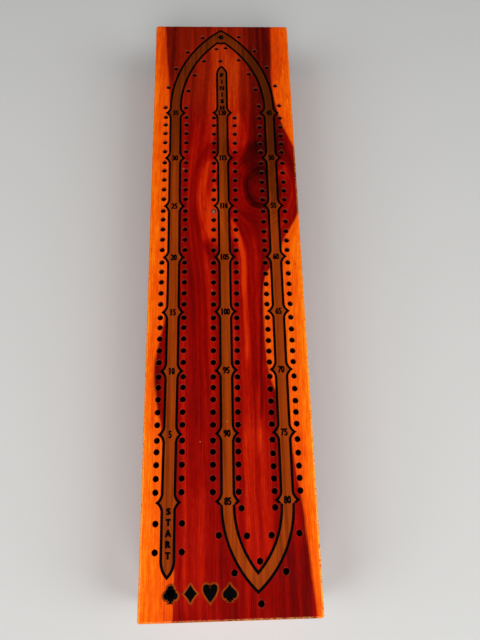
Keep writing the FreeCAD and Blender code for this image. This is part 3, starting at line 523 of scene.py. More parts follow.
# %% Parts of the knot
KNOT_CLOUDS = (
    ("maroon_cloud", (27.0, 82.0), 0.8, 20.0, 12.0, -0.28),
    ("bright_shoulder", (9.0, 100.0), 2.4, 8.5, 4.5, 0.24),
    ("eye", (23.5, 60.0), 1.25, 12.5, 8.0, -0.20),
    ("eye_glow", (21.5, 55.0), 1.6, 4.5, 1.5, 0.08),
    ("eye_corner", (18.0, 49.0), 1.0, 6.0, 2.0, -0.14),
    ("eye_foot", (22.0, 45.5), 0.4, 8.0, 4.0, -0.20),
    ("dull_patch", (15.0, 33.0), 1.1, 13.0, 6.0, -0.10),
    ("lane_side_glow", (5.5, 30.0), 3.0, 4.5, 1.5, 0.22),
    ("right_of_knot", (38.5, 72.0), 2.6, 6.5, 2.5, 0.12),
    ("right_edge_band", (45.5, 76.0), 6.0, 4.0, 1.5, -0.16),
    ("above_the_band", (41.0, 97.0), 1.3, 9.0, 4.0, -0.06),
    ("lens_foot", (-13.0, 24.0), 1.6, 6.0, 2.0, 0.19),
    ("lens_heart", (-6.5, 42.0), 3.2, 7.5, 3.0, 0.26),
)
CLOUD_WANDER = 7.0
EYE_RIM = ((25.0, 59.0), 1.3, 11.0, 3.0, -0.24)
EYE_RIM_WANDER = 2.4
EYE_RIM_ENDS = (73.0, 58.0)
EYE_RINGS_WANDER = 6.0
EYE_RINGS_PITCH = 2.3
EYE_RINGS_STARTS = (3.0, 8.0)
EYE_RINGS_ENDS = (26.0, 13.0)
EYE_RINGS_STRENGTH = 0.055
GRAIN_LENS = ((-2.0, 50.0), 2.2, 16.5)
LENS_WANDER = 5.0
LENS_SIDE = (1.0, -4.0)
LENS_FILL = (1.0, -3.0, 0.20)
LENS_LINES = ((-3.0, 3.6, 0.09), (2.8, 2.2, -0.10))


def distance_from(bench, x, y, spot, length=1.0):
    away = bench.minus(x, spot[0])
    past = bench.over(bench.minus(y, spot[1]), length)
    return bench.length(bench.join(away, past))


def arc_line(bench, distance, reach, half_width):
    """A soft line at a reach from a middle."""
    off_line = bench.math("ABSOLUTE", bench.minus(distance, reach))
    return bench.between(off_line, half_width, half_width * 0.2)


def eye_shade(bench, x, y, ripple, figure):
    """Adds the eye's dark rim and the faint rings round it."""
    spot, length, reach, half_width, strength = EYE_RIM
    away = bench.scaled(ripple, EYE_RIM_WANDER, distance_from(bench, x, y, spot, length))
    rim = bench.times(arc_line(bench, away, reach, half_width), bench.between(y, *EYE_RIM_ENDS))
    figure = bench.scaled(rim, strength, figure)
    wave = bench.times(bench.scaled(ripple, EYE_RINGS_WANDER, away), EYE_RINGS_PITCH)
    reach = bench.times(bench.between(away, *EYE_RINGS_ENDS), bench.between(away, *EYE_RINGS_STARTS))
    return bench.scaled(bench.times(bench.math("SINE", wave), reach), EYE_RINGS_STRENGTH, figure)


def lens_shade(bench, x, y, ripple, figure):
    """Adds the bright lens with a light line inside its border and a dark one outside."""
    spot, length, reach = GRAIN_LENS
    away = bench.scaled(ripple, LENS_WANDER, distance_from(bench, x, y, spot, length))
    left = bench.between(x, *LENS_SIDE)
    outer, inner, strength = LENS_FILL
    parts = [(bench.between(away, reach + outer, reach + inner), strength)]
    for step, half_width, strength in LENS_LINES:
        parts.append((arc_line(bench, away, reach + step, half_width), strength))
    for mask, strength in parts:
        figure = bench.scaled(bench.times(mask, left), strength, figure)
    return figure


def knot_shade(bench, x, y, ripple):
    """How much the knot and its lens darken or brighten the wood."""
    figure = 0.0
    wander = bench.times(ripple, CLOUD_WANDER)
    for name, spot, length, outer, inner, strength in KNOT_CLOUDS:
        away = bench.total(distance_from(bench, x, y, spot, length), wander)
        figure = bench.scaled(bench.between(away, outer, inner), strength, figure)
    figure = eye_shade(bench, x, y, ripple, figure)
    return lens_shade(bench, x, y, ripple, figure)


print("clouds round the knot:", len(KNOT_CLOUDS))

# %% [markdown]
# Two ramps turn the figure into reds, one for most of the board and one for the far end, which has browned
# with age. The sapwood has a ramp of its own. Ramps keep each kind of wood within its own family of colours,
# which mixing a dark and a light tone would not.

# %% Tones of heartwood and sapwood
HEARTWOOD = tone_steps((0.0, 46, 0, 0), (0.2, 77, 1, 0), (0.4, 108, 2, 0), (0.6, 140, 4, 0),
                       (0.8, 173, 19, 1), (1.0, 206, 48, 2))
AGED_HEARTWOOD = tone_steps((0.0, 50, 2, 0), (0.2, 82, 6, 1), (0.4, 112, 14, 1), (0.6, 143, 24, 2),
                            (0.8, 176, 42, 2), (1.0, 208, 66, 3))
SAPWOOD = tone_steps((0.0, 206, 56, 1), (0.35, 232, 78, 2), (0.65, 243, 96, 3), (1.0, 250, 128, 12))
AGED_FROM, AGED_TO = 95.0, 150.0
HEART_BORDER = 0.9
print("steps of red in the heartwood:", len(HEARTWOOD))

# %% [markdown]
# Now the whole figure can be put together: plain red, the knot, the streaks, and over them the fine things
# that the grain adds, which are bands, threads, dark pencil lines and mottle. The same bands and threads run
# on into the sapwood, so that both look like one board.

# %% Group: cedar_figure


def lay_streaks(bench, across, y, figure):
    for name, centre, half_width, near_end, far_end, lean, strength in STREAKS:
        sockets = {"Across": across, "Along": y, "Centre": centre, "Half_width": half_width}
        sockets.update({"Near_end": near_end, "Far_end": far_end, "Lean": lean})
        figure = bench.scaled(bench.group(WOOD_STREAK, **sockets)["Mask"], strength, figure)
    return figure


def inside_heart(bench, x, y, ripple):
    """How far a point is inside the heartwood, in mm, from whichever sapwood is nearer."""
    edge_x = bench.total(x, bench.times(ripple, 3.0))
    past_left = bench.minus(edge_x, curve_along(bench, y, LEFT_SAPWOOD))
    before_right = bench.minus(curve_along(bench, y, RIGHT_SAPWOOD), edge_x)
    return bench.math("MINIMUM", past_left, before_right)


def make_cedar_figure():
    gives = {"Colour": "Color", "Figure": "Float"}
    group, bench, given, out = new_group("cedar_figure", {"Place": "Vector"}, gives)
    x, y, z = bench.split(given["Place"])
    ripple = bench.minus(bench.cloud(given["Place"], (0.05, 0.02, 0.05)), 0.5)
    across = bench.weighed(flow_round_knot(bench, x, y), (ripple, 4.0))
    bent_place = bench.join(across, y, z)
    grain = bench.group(WOOD_GRAIN, Place=bent_place, Ring_width=3.4, Fibre_width=0.55, Wander=2.0)
    bands = bench.times(bench.minus(grain["Rings"], 0.5), 0.2)
    threads = bench.times(bench.minus(grain["Fibre"], 0.5), 0.17)
    pencil = bench.join(bench.over(across, 1.3), bench.times(y, 0.007))
    pencil = bench.between(bench.cloud(pencil, 1.0, detail=1.0), 0.6, 0.72, 0.0, -0.12)
    mottle = bench.cloud(given["Place"], (0.45, 0.2, 0.45), detail=3.0, roughness=0.75)
    mottle = bench.scaled(mottle, 0.26, -0.13)

    figure = bench.total(PLAIN_RED, knot_shade(bench, x, y, ripple))
    figure = lay_streaks(bench, across, y, figure)
    figure = bench.total(figure, bands, threads, pencil, mottle)
    aged = bench.between(y, AGED_FROM, AGED_TO)
    heartwood = bench.mix(aged, bench.tones(figure, HEARTWOOD), bench.tones(figure, AGED_HEARTWOOD))

    inside = inside_heart(bench, x, y, ripple)
    outward = bench.total(bench.between(inside, -1.0, -11.0, 0.0, 0.18),
                          bench.between(bench.math("ABSOLUTE", x), 42.0, 47.5, 0.0, 0.2))
    pale = bench.cloud(given["Place"], (0.12, 0.03, 0.12), detail=3.0)
    # painted shade: the sapwood is lighter over most of the board and darker past 132 mm towards the far end,
    # where less light falls
    far_end_painted_shade = bench.between(y, 132.0, 165.0, 0.13, -0.14)
    sap = bench.weighed(outward, (pale, 0.45), (threads, 3.6), far_end_painted_shade, (mottle, 3.0), (bands, 0.8))
    heart = bench.between(bench.weighed(inside, (threads, 6.0)), -HEART_BORDER, HEART_BORDER)
    colour = bench.mix(heart, bench.tones(sap, SAPWOOD), heartwood)
    bench.plug(out, {"Colour": colour, "Figure": figure})
    return group


CEDAR_FIGURE = make_cedar_figure()
print("nodes in cedar_figure:", len(CEDAR_FIGURE.nodes))

# %% [markdown]
# ## The varnished top
# The figure gives the colour. Over it lie many years of varnish, which the Principled shader's coat stands
# for: it is nearly smooth, while the wood under it has a fine grain that only just lifts the surface. Old
# specks of dust and pitch, one pale spot that is a painted highlight over a peg hole, and a few smoky patches
# are listed one by one, since noise would put them anywhere.

# %% Specks and smoky patches
# Pale specks of dust and pitch; the one at (-8.5, -13.8) is a painted highlight, the lit crescent just above
# a peg hole.
PALE_SPECKS_AND_GLINT = (
    (-27.2, 73.2, 0.9), (-8.5, -13.8, 0.9), (-0.8, -94.0, 0.6), (-16.0, -105.0, 0.6), (-7.8, 36.8, 0.7),
)
DARK_SPECKS = (
    (-47.0, 14.6, 0.8), (-16.0, 88.0, 0.9), (-13.0, 42.5, 0.9), (44.0, 3.4, 0.8), (-4.6, -16.6, 1.0),
    (27.5, -187.0, 0.8), (21.5, 182.0, 0.7), (42.8, 164.5, 0.9), (43.5, 157.0, 0.8), (4.0, -164.0, 0.8),
)
SMOKY_PATCHES = ((42.5, 160.0, 4.5), (44.5, 150.0, 3.0), (44.0, 132.0, 4.0), (41.5, 174.0, 2.5))
SPECK_STRENGTH = 0.45


def specks(bench, place, spots):
    """A mask of small soft spots."""
    x, y, z = bench.split(place)
    found = None
    for spot_x, spot_y, size in spots:
        spot = bench.between(distance_from(bench, x, y, (spot_x, spot_y)), size, size * 0.35)
        found = spot if found is None else bench.math("MAXIMUM", found, spot)
    return bench.times(found, SPECK_STRENGTH)


print("specks on the board:", len(PALE_SPECKS_AND_GLINT) + len(DARK_SPECKS))

# %% [markdown]
# Along the rounded rim the varnish is rubbed through, so a thin broken line of pale wood shows, most of all
# at the near right where a hand picks the box up; the same pale line is also a painted highlight, the light
# that the rounded edge catches. Inside the peg holes the walls are painted dark as shade, under a paler band
# of painted light just below the rim, where the lit wall shows. Both masks come from the surface's own tilt
# and depth, so no mesh has to be painted.

# %% Masks for the rim and the holes
RIM_TO_INNER = (1.5, 3.0)
# Depths in mm of the painted lit band just under each hole's rim and of the painted shade on the walls below
LIT_BAND_DEPTHS = ((-0.1, -0.4), (-1.8, -0.9))
SHADED_WALL_DEPTHS = ((-0.5, -2.0), (-10.6, -9.9))


# A pale broken line on the rounded rim: wood where the varnish is rubbed through, and painted highlight that
# the rounded edge catches.
def rubbed_rim(bench, place, tilt):
    x, y, z = bench.split(place)
    on_rim = bench.times(bench.between(tilt[2], 0.995, 0.93), bench.between(tilt[2], 0.1, 0.4))
    broken = bench.cloud(place, (0.6, 0.8, 0.6), detail=3.0, roughness=0.7)
    heavier = bench.times(bench.between(y, 20.0, -100.0, 0.3, 1.0), bench.between(x, -20.0, 40.0, 0.6, 1.0))
    end_face = bench.math("ABSOLUTE", tilt[1])
    heavier = bench.times(heavier, bench.between(end_face, 0.1, 0.3, 1.0, 0.4))
    return bench.times(bench.times(on_rim, bench.between(broken, 0.4, 0.52)), heavier)


def hole_masks(bench, place):
    """Painted light and shade in the peg holes: a lit band just under the top and shaded walls below it, away
    from the board's edge.
    """
    x, y, z = bench.split(place)
    from_sides = bench.minus(HALF_WIDTH, bench.math("ABSOLUTE", x))
    from_ends = bench.minus(HALF_LENGTH, bench.math("ABSOLUTE", y))
    inner = bench.between(bench.math("MINIMUM", from_sides, from_ends), *RIM_TO_INNER)
    return [bench.times(inner, bench.times(bench.between(z, *start), bench.between(z, *end)))
            for start, end in (LIT_BAND_DEPTHS, SHADED_WALL_DEPTHS)]


print("hole walls are dark down to, mm:", SHADED_WALL_DEPTHS[1][1])

# %% Finish: varnished_cedar_top
VARNISH = {"Coat_Roughness": 0.08, "Specular_IOR_Level": 0.03}


def make_varnished_top():
    finish, bench, shader = new_finish("varnished_cedar_top", **VARNISH)
    place = place_on_board(bench)
    tilt = bench.split(bench.add("TexCoord").outputs["Normal"])
    figure = bench.group(CEDAR_FIGURE, Place=place)
    billows = bench.between(bench.cloud(place, (0.5, 0.3, 0.5), detail=4.0, roughness=0.7), 0.45, 0.7)
    grain_end = bench.between(bench.math("ABSOLUTE", tilt[1]), 0.7, 0.95)
    lit_band, hole_shade = hole_masks(bench, place)
    colour = figure["Colour"]
    for share, layer in (
        (specks(bench, place, PALE_SPECKS_AND_GLINT), tone(196, 120, 76)),
        (specks(bench, place, DARK_SPECKS), tone(90, 12, 0)),
        (bench.times(specks(bench, place, SMOKY_PATCHES), billows), tone(120, 34, 4)),
        # pale rubbed wood along the rim, which is also a painted highlight of the rounded edge
        (bench.times(rubbed_rim(bench, place, tilt), 0.85), tone(255, 186, 70)),
        (bench.times(grain_end, 0.45), tone(96, 18, 4)),
        # painted light: a paler band just under each hole's rim, where the lit wall shows
        (bench.times(lit_band, 0.22), tone(178, 104, 80)),
        # painted shade: the hole walls darkened below it
        (bench.times(hole_shade, 0.93), tone(26, 9, 4)),
    ):
        colour = bench.mix(share, colour, layer)

    marks = bench.group(HANDLING_MARKS, Place=place, Scale=0.5)
    gloss = bench.scaled(marks["Smudges"], 0.12, 0.34)
    gloss = bench.scaled(marks["Scratches"], 0.1, gloss)
    level = bench.between(tilt[2], 0.97, 0.9995, 0.05, 0.7)
    coat = bench.times(level, bench.minus(1.0, hole_shade))
    height = bench.scaled(figure["Figure"], 0.4, bench.times(marks["Scratches"], -0.15))
    relief = bench.relief(height, 0.25, 0.06)
    bench.plug(shader, {"Base Color": colour, "Roughness": gloss, "Coat Weight": coat, "Normal": relief})
    return finish


def dress(node, finish):
    """Gives a frame piece its finish, in the slot that it already has."""
    nodes[node].material_slots[0].material = finish


dress("top_board", make_varnished_top())
print("the top wears:", nodes["top_board"].material_slots[0].material.name)

# %% [markdown]
# ## Printing the track
# The track is a stencilled band: a brown fill with a black line on both sides, three lanes long, joined by a
# pointed arch at the far end and a pointed vee at the near end. It starts and finishes in a spear. At every
# fifth hole the band flares to a pair of points with the count between them. A picture could be laid on the
# board, but the band's shape is plain geometry, so it is drawn as one closed outline: once a little wider for
# the black, and once a little narrower for the brown that lies on it. Ink has next to no thickness.

# %% Sizes of the track
FIRST_MARKER = -137.0
STREET = 36.44
MARKERS = [FIRST_MARKER + STREET * count for count in range(8)]
LANE_MIDDLES = {
    "left": ((-166, -33.4), (-135, -33.4), (-92, -33.0), (-55, -32.7), (0, -32.65), (55, -32.9),
             (122, -33.05)),
    "centre": ((-139, -0.95), (-110, -0.75), (0, -0.55), (60, -0.7), (151, -0.7)),
    "right": ((-139, 31.9), (122, 31.95)),
}
BAND_HALF = {"left": 3.46, "centre": 3.38, "right": 3.24}
LINE_HALF = 0.78
FLARE_REACH = 4.3
FLARE_TIP = 6.0
FLARE_BEND = 1.9
FLARE_SWELL = 0.25
TIP_GROWTH = 1.6
SPEAR_START = -166.0
START_TIP = (-33.6, -174.2)
SPEAR_FINISH = 151.0
FINISH_TIP = (-0.9, 157.9)
ARCH_LEVEL = 122.0
ARCH_TIP = (-0.9, 190.9)
ARCH_DIP = ((-3.5, 179.3), (-1.0, 178.8), (1.5, 179.3))
VEE_LEVEL = -139.0
VEE_TIP = (14.4, -182.2)
VEE_INNER_TIP = (14.6, -173.0)


def lane_middle(lane, along):
    """How far across the board a lane's middle is; the stencil wasn't laid quite straight."""
    steps = LANE_MIDDLES[lane]
    for (y0, x0), (y1, x1) in zip(steps, steps[1:]):
        if along <= y1:
            break
    share = min(max((along - y0) / (y1 - y0), 0.0), 1.0)
    return x0 + (x1 - x0) * share


print("markers at, mm:", [round(y, 1) for y in MARKERS])

# %% [markdown]
# Each side of the band is walked from near to far. The flare at a marker is a pair of curves that leave the
# side upright and lean out to a point, like a curly bracket. The arch and the vee are round arcs that leave
# the lanes upright and end over the tip, so a start and a tip are all that an arc needs.

# %% Walking the band's sides
CURVE_STEPS = 7
ARC_STEPS = 26
CLOSEST = 0.01


def bent(start, corner, end):
    """Points of a curve that leaves start towards corner and comes to end from it."""
    shares = [step / CURVE_STEPS for step in range(CURVE_STEPS + 1)]
    return [tuple((1 - s) ** 2 * a + 2 * s * (1 - s) * b + s * s * c for a, b, c in zip(start, corner, end))
            for s in shares]


def lane_side(lane, side, grow, low, high):
    """One side of a straight lane from low to high, with a flare at each marker."""
    half = BAND_HALF[lane] + grow
    points = []
    for marker in MARKERS:
        tip = (side * (FLARE_TIP + TIP_GROWTH * grow), marker)
        for start, corner in ((-FLARE_REACH, -FLARE_BEND), (FLARE_REACH, FLARE_BEND)):
            curve = bent((side * half, marker + start), (side * (half + FLARE_SWELL), marker + corner), tip)
            points += curve if start < 0 else curve[::-1]
    points = [(lane_middle(lane, y) + x, y) for x, y in points if low < y < high]
    ends = [(lane_middle(lane, y) + side * half, y) for y in (low, high)]
    return [ends[0], *points, ends[1]]


def arc_to_tip(lane, side, grow, level, tip):
    """An arc that leaves a lane's side upright at a level and ends over the tip."""
    start = lane_middle(lane, level) + side * BAND_HALF[lane]
    reach, rise = tip[0] - start, tip[1] - level
    radius = (reach * reach + rise * rise) / (2 * abs(reach))
    middle = start + math.copysign(radius, reach)
    radius += grow if side * reach < 0 else -grow
    last = math.acos((middle - tip[0]) / radius * math.copysign(1.0, reach))
    turns = [last * step / ARC_STEPS for step in range(ARC_STEPS + 1)]
    return [(middle - math.copysign(radius * math.cos(turn), reach),
             level + math.copysign(radius * math.sin(turn), rise)) for turn in turns]


def band_outline(grow):
    """The whole band as one closed outline, wider than its middle line by grow."""
    back = slice(None, None, -1)
    dip = [(x, y - grow) for x, y in ARCH_DIP]
    walk = arc_to_tip("left", -1, grow, SPEAR_START, START_TIP)[back]
    walk += lane_side("left", -1, grow, SPEAR_START, ARCH_LEVEL)
    walk += arc_to_tip("left", -1, grow, ARCH_LEVEL, ARCH_TIP)
    walk += arc_to_tip("right", 1, grow, ARCH_LEVEL, ARCH_TIP)[back]
    walk += lane_side("right", 1, grow, VEE_LEVEL, ARCH_LEVEL)[back]
    walk += arc_to_tip("right", 1, grow, VEE_LEVEL, VEE_TIP)
    walk += arc_to_tip("centre", -1, grow, VEE_LEVEL, VEE_TIP)[back]
    walk += lane_side("centre", -1, grow, VEE_LEVEL, SPEAR_FINISH)
    walk += arc_to_tip("centre", -1, grow, SPEAR_FINISH, FINISH_TIP)
    walk += arc_to_tip("centre", 1, grow, SPEAR_FINISH, FINISH_TIP)[back]
    walk += lane_side("centre", 1, grow, VEE_LEVEL, SPEAR_FINISH)[back]
    walk += arc_to_tip("centre", 1, grow, VEE_LEVEL, VEE_INNER_TIP)
    walk += arc_to_tip("right", -1, grow, VEE_LEVEL, VEE_INNER_TIP)[back]
    walk += lane_side("right", -1, grow, VEE_LEVEL, ARCH_LEVEL)
    walk += arc_to_tip("right", -1, grow, ARCH_LEVEL, ARCH_DIP[2])
    walk += [dip[1]]
    walk += arc_to_tip("left", 1, grow, ARCH_LEVEL, ARCH_DIP[0])[back]
    walk += lane_side("left", 1, grow, SPEAR_START, ARCH_LEVEL)[back]
    walk += arc_to_tip("left", 1, grow, SPEAR_START, START_TIP)
    return walk


def without_repeats(points):
    kept = []
    for point in points:
        if not kept or math.dist(point, kept[-1]) > CLOSEST:
            kept.append(point)
    if math.dist(kept[0], kept[-1]) <= CLOSEST:
        kept.pop()
    return kept


print("points round the band:", len(without_repeats(band_outline(LINE_HALF))))

# %% [markdown]
# ## Ink that lies on the wood
# A flat shape becomes a piece by filling its outline with one face and cutting that into triangles. Every
# piece of print rides on the case, because the board never moves. Where two inks overlap, the upper one lies
# a hair higher, so that neither flickers through the other.

# %% Filling outlines
BLACK_LIFT, BROWN_LIFT, INK_LIFT = 0.02, 0.04, 0.06


def finished_piece(name, shape, finish, body):
    mesh = bpy.data.meshes.new(name)
    shape.to_mesh(mesh)
    shape.free()
    piece = bpy.data.objects.new(name, mesh)
    mesh.materials.append(finish)
    bpy.context.scene.collection.objects.link(piece)
    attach(piece, body)
    return piece


def face_up(face):
    if face.normal.z < 0:
        face.normal_flip()


def flat_piece(name, outlines, lift, finish):
    """A piece made of filled outlines, in board millimetres, lying at a small height over the board."""
    shape = bmesh.new()
    for outline in outlines:
        shape.faces.new([shape.verts.new(on_board(x, y, lift)) for x, y in without_repeats(outline)])
    bmesh.ops.triangulate(shape, faces=shape.faces[:])
    for face in shape.faces:
        face_up(face)
    return finished_piece(name, shape, finish, "case")


print("ink lies over the board at, mm:", BLACK_LIFT, BROWN_LIFT, INK_LIFT)

# %% [markdown]
# The ink isn't flat colour. The black is thin in places, where a little of the wood's warmth shows, and the
# brown is a stain, so the cedar's figure and the pale specks show through it. A see-through layer would do
# that too, but reading the same figure group again is quicker and never shows its edge.

# %% Finishes: brown stain and black ink
STAIN_TONES = tone_steps((0.1, 80, 27, 1), (0.4, 116, 39, 2), (0.62, 142, 51, 4), (0.95, 165, 65, 7))


def make_brown_stain():
    finish, bench, shader = new_finish("brown_track_stain", Coat_Weight=0.6, **VARNISH)
    place = place_on_board(bench)
    along = bench.split(place)[1]
    figure = bench.group(CEDAR_FIGURE, Place=place)
    grain = bench.group(WOOD_GRAIN, Place=place, Ring_width=1.6, Fibre_width=0.4, Wander=2.0)
    # painted shade: the stain darkens from 20 mm to 130 mm towards the far end, where less light falls
    far_end_painted_shade = bench.between(along, 20.0, 130.0, 0.0, -0.36)
    shade = bench.weighed((figure["Figure"], 0.7), (grain["Rings"], 0.2), (grain["Fibre"], 0.22), far_end_painted_shade)
    stained = bench.tones(shade, STAIN_TONES)
    colour = bench.mix(specks(bench, place, PALE_SPECKS_AND_GLINT), stained, tone(190, 140, 110))
    rough = bench.between(shade, 0, 1, 0.36, 0.5)
    relief = bench.relief(grain["Fibre"], 0.2, 0.05)
    bench.plug(shader, {"Base Color": colour, "Roughness": rough, "Normal": relief})
    return finish


def make_black_ink():
    finish, bench, shader = new_finish("black_track_ink", Coat_Weight=0.6, **VARNISH)
    place = place_in_mm(bench)
    grain = bench.group(WOOD_GRAIN, Place=place, Ring_width=2.0, Fibre_width=0.35, Wander=2.0)
    thin = bench.times(bench.between(bench.cloud(place, 0.8, detail=4.0), 0.55, 0.8), grain["Fibre"])
    colour = bench.mix(thin, tone(1, 1, 1), tone(16, 6, 2))
    relief = bench.relief(grain["Fibre"], 0.2, 0.05)
    rough = bench.scaled(grain["Fibre"], 0.12, 0.36)
    bench.plug(shader, {"Base Color": colour, "Roughness": rough, "Normal": relief})
    return finish


BROWN_STAIN = make_brown_stain()
BLACK_INK = make_black_ink()
flat_piece("track_black_line", [band_outline(LINE_HALF)], BLACK_LIFT, BLACK_INK)
flat_piece("track_brown_band", [band_outline(-LINE_HALF)], BROWN_LIFT, BROWN_STAIN)
print("left lane's width over the lines, mm:", 2 * (BAND_HALF["left"] + LINE_HALF))

# %% [markdown]
# ## Counts and words
# The counts go up in fives: up the left lane, over the arch, down the right lane, through the vee and up the
# centre lane. START and FINISH are set one letter under another. Blender's own plain typeface is turned into
# mesh letters and measured, so that each can be drawn to the height and width that the stencil has.

# %% Letters as points and triangles


def reach_of(points):
    """The middle and the size of a set of flat points."""
    low = [min(point[axis] for point in points) for axis in (0, 1)]
    high = [max(point[axis] for point in points) for axis in (0, 1)]
    return [(a + b) / 2 for a, b in zip(low, high)], [b - a for a, b in zip(low, high)]


def filled(words):
    """The points and the triangles of a line of letters, as Blender fills it."""
    line = bpy.data.curves.new("letters", "FONT")
    line.body = words
    line.resolution_u = 4
    holder = bpy.data.objects.new("letters", line)
    bpy.context.scene.collection.objects.link(holder)
    ready = holder.evaluated_get(bpy.context.evaluated_depsgraph_get())
    mesh = ready.to_mesh()
    mesh.calc_loop_triangles()
    points = [(vertex.co.x, vertex.co.y) for vertex in mesh.vertices]
    triangles = [tuple(triangle.vertices) for triangle in mesh.loop_triangles]
    ready.to_mesh_clear()
    bpy.data.objects.remove(holder)
    return points, triangles


print("an A, as the typeface has it:", [round(size, 2) for size in reach_of(filled("A")[0])[1]])

# %% [markdown]
# Narrowed letters would get thin strokes, and the stencil's are bold. So a letter is first made smaller than
# it has to be, and then a rim is laid round it: every corner of its border is pushed outwards by the rim's
# width, which isn't the same across as along.

# %% A rim round each stroke
SHORTEST_TURN = 1.6


def outward_steps(points, border, weight):
    """For each corner of a border, the step that moves it out by the weight."""
    pushes = {}
    for a, b in border:
        run = [(points[b][axis] - points[a][axis]) / weight[axis] for axis in (0, 1)]
        length = math.hypot(*run)
        for corner in (a, b):
            pushes.setdefault(corner, []).append((run[1] / length, -run[0] / length))
    steps = {}
    for corner, normals in pushes.items():
        total = [sum(normal[axis] for normal in normals) for axis in (0, 1)]
        share = 2.0 / max(total[0] ** 2 + total[1] ** 2, SHORTEST_TURN)
        steps[corner] = [total[axis] * share * weight[axis] for axis in (0, 1)]
    return steps


def drawn_letters(words, width, height, weight):
    """The faces of a word, centred on zero, in millimetres: its triangles, and a rim of the weight."""
    points, triangles = filled(words)
    middle, size = reach_of(points)
    scale = [(wanted - 2 * rim) / own for wanted, rim, own in zip((width, height), weight, size)]
    points = [tuple((point[axis] - middle[axis]) * scale[axis] for axis in (0, 1)) for point in points]
    sides = [side for corners in triangles for side in zip(corners, corners[1:] + corners[:1])]
    known = set(sides)
    border = [(a, b) for a, b in sides if (b, a) not in known]
    steps = outward_steps(points, border, weight)
    faces = [[points[i] for i in corners] for corners in triangles]
    for a, b in border:
        near = [points[b], points[a]]
        far = [tuple(p + step for p, step in zip(points[i], steps[i])) for i in (a, b)]
        faces.append(far + near)
    return faces


print("a sharp corner moves out by at most, in rims:", round(2.0 / SHORTEST_TURN ** 0.5, 2))

# %% Setting letters in ink
LETTER_HEIGHT = 3.75
LETTER_WIDTHS = {"S": 2.75, "T": 2.85, "A": 3.6, "R": 3.1, "F": 2.6, "I": 1.15, "N": 3.4, "H": 3.4}
LETTER_WEIGHT = (0.47, 0.36)


def lay_in_ink(shape, outlines, across, along):
    for outline in outlines:
        spots = [on_board(across + x, along + y, INK_LIFT) for x, y in outline]
        face = shape.faces.new([shape.verts.new(spot) for spot in spots])
        face.normal_update()
        face_up(face)


def set_in_ink(shape, words, across, along, size, weight):
    lay_in_ink(shape, drawn_letters(words, *size, weight), across, along)


print("letters that the words need:", len(LETTER_WIDTHS))

# %% [markdown]
# A count is set in runs side by side. The stencil's 1 is plainer than the typeface's, so every 1 is drawn as
# a bar with a short flag, and the digits between are set as one line.

# %% The counts
NUMBER_HEIGHT = 4.2
NUMBER_WEIGHT = (0.31, 0.21)
DIGIT_WIDTH = 2.05
DIGIT_GAP = 0.3
ONE_WIDTH = 1.4
ONE_FLAG = 0.3
FLAG_DROPS = (0.45, 0.95, 0.75)
ARCH_COUNT = 40
ARCH_COUNT_PLACE = (-1.0, 184.6)
COUNT_LANES = (
    ("left", range(5, 36, 5), MARKERS[1:]),
    ("right", range(45, 81, 5), MARKERS[::-1]),
    ("centre", range(85, 121, 5), MARKERS),
)


def plain_one():
    """The stencil's 1: a plain bar with a short flag, as two outlines centred on zero."""
    left, right, top = ONE_FLAG - ONE_WIDTH / 2, ONE_WIDTH / 2, NUMBER_HEIGHT / 2
    tip, under_tip, root = (top - drop for drop in FLAG_DROPS)
    bar = [(left, -top), (right, -top), (right, top), (left, top)]
    flag = [(left, top), (-right, tip), (-right, under_tip), (left, root)]
    return bar, flag


def set_count(shape, count, across, along):
    runs = re.findall("1|[^1]+", str(count))
    widths = [ONE_WIDTH if run == "1" else DIGIT_WIDTH * len(run) for run in runs]
    left = across - (sum(widths) + DIGIT_GAP * (len(runs) - 1)) / 2
    for run, width in zip(runs, widths):
        if run == "1":
            lay_in_ink(shape, plain_one(), left + width / 2, along)
        else:
            set_in_ink(shape, run, left + width / 2, along, (width, NUMBER_HEIGHT), NUMBER_WEIGHT)
        left += width + DIGIT_GAP


def print_counts():
    shape = bmesh.new()
    set_count(shape, ARCH_COUNT, *ARCH_COUNT_PLACE)
    for lane, counts, places in COUNT_LANES:
        for count, along in zip(counts, places):
            set_count(shape, count, lane_middle(lane, along), along)
    return finished_piece("track_counts", shape, BLACK_INK, "case")


counts_piece = print_counts()
print("faces in the counts:", len(counts_piece.data.polygons))

# %% The words
WORDS = (
    ("START", -33.25, -141.5, -5.5),
    ("FINISH", lane_middle("centre", 137.0), 150.2, -5.6),
)


def print_words():
    shape = bmesh.new()
    for word, across, first, step in WORDS:
        for row, letter in enumerate(word):
            size = (LETTER_WIDTHS[letter], LETTER_HEIGHT)
            set_in_ink(shape, letter, across, first + row * step, size, LETTER_WEIGHT)
    return finished_piece("track_words", shape, BLACK_INK, "case")


words_piece = print_words()
print("faces in the words:", len(words_piece.data.polygons))

# %% [markdown]
# ## Four suits under the START spear
# A line of card suits fills the corner by the near end: black, with a brown border. A suit is drawn on its
# right side only, with the same bent curves as the flares, and mirrored; the club is made of round lobes. The
# border is the same outline with every corner pushed outwards, laid under the black one.

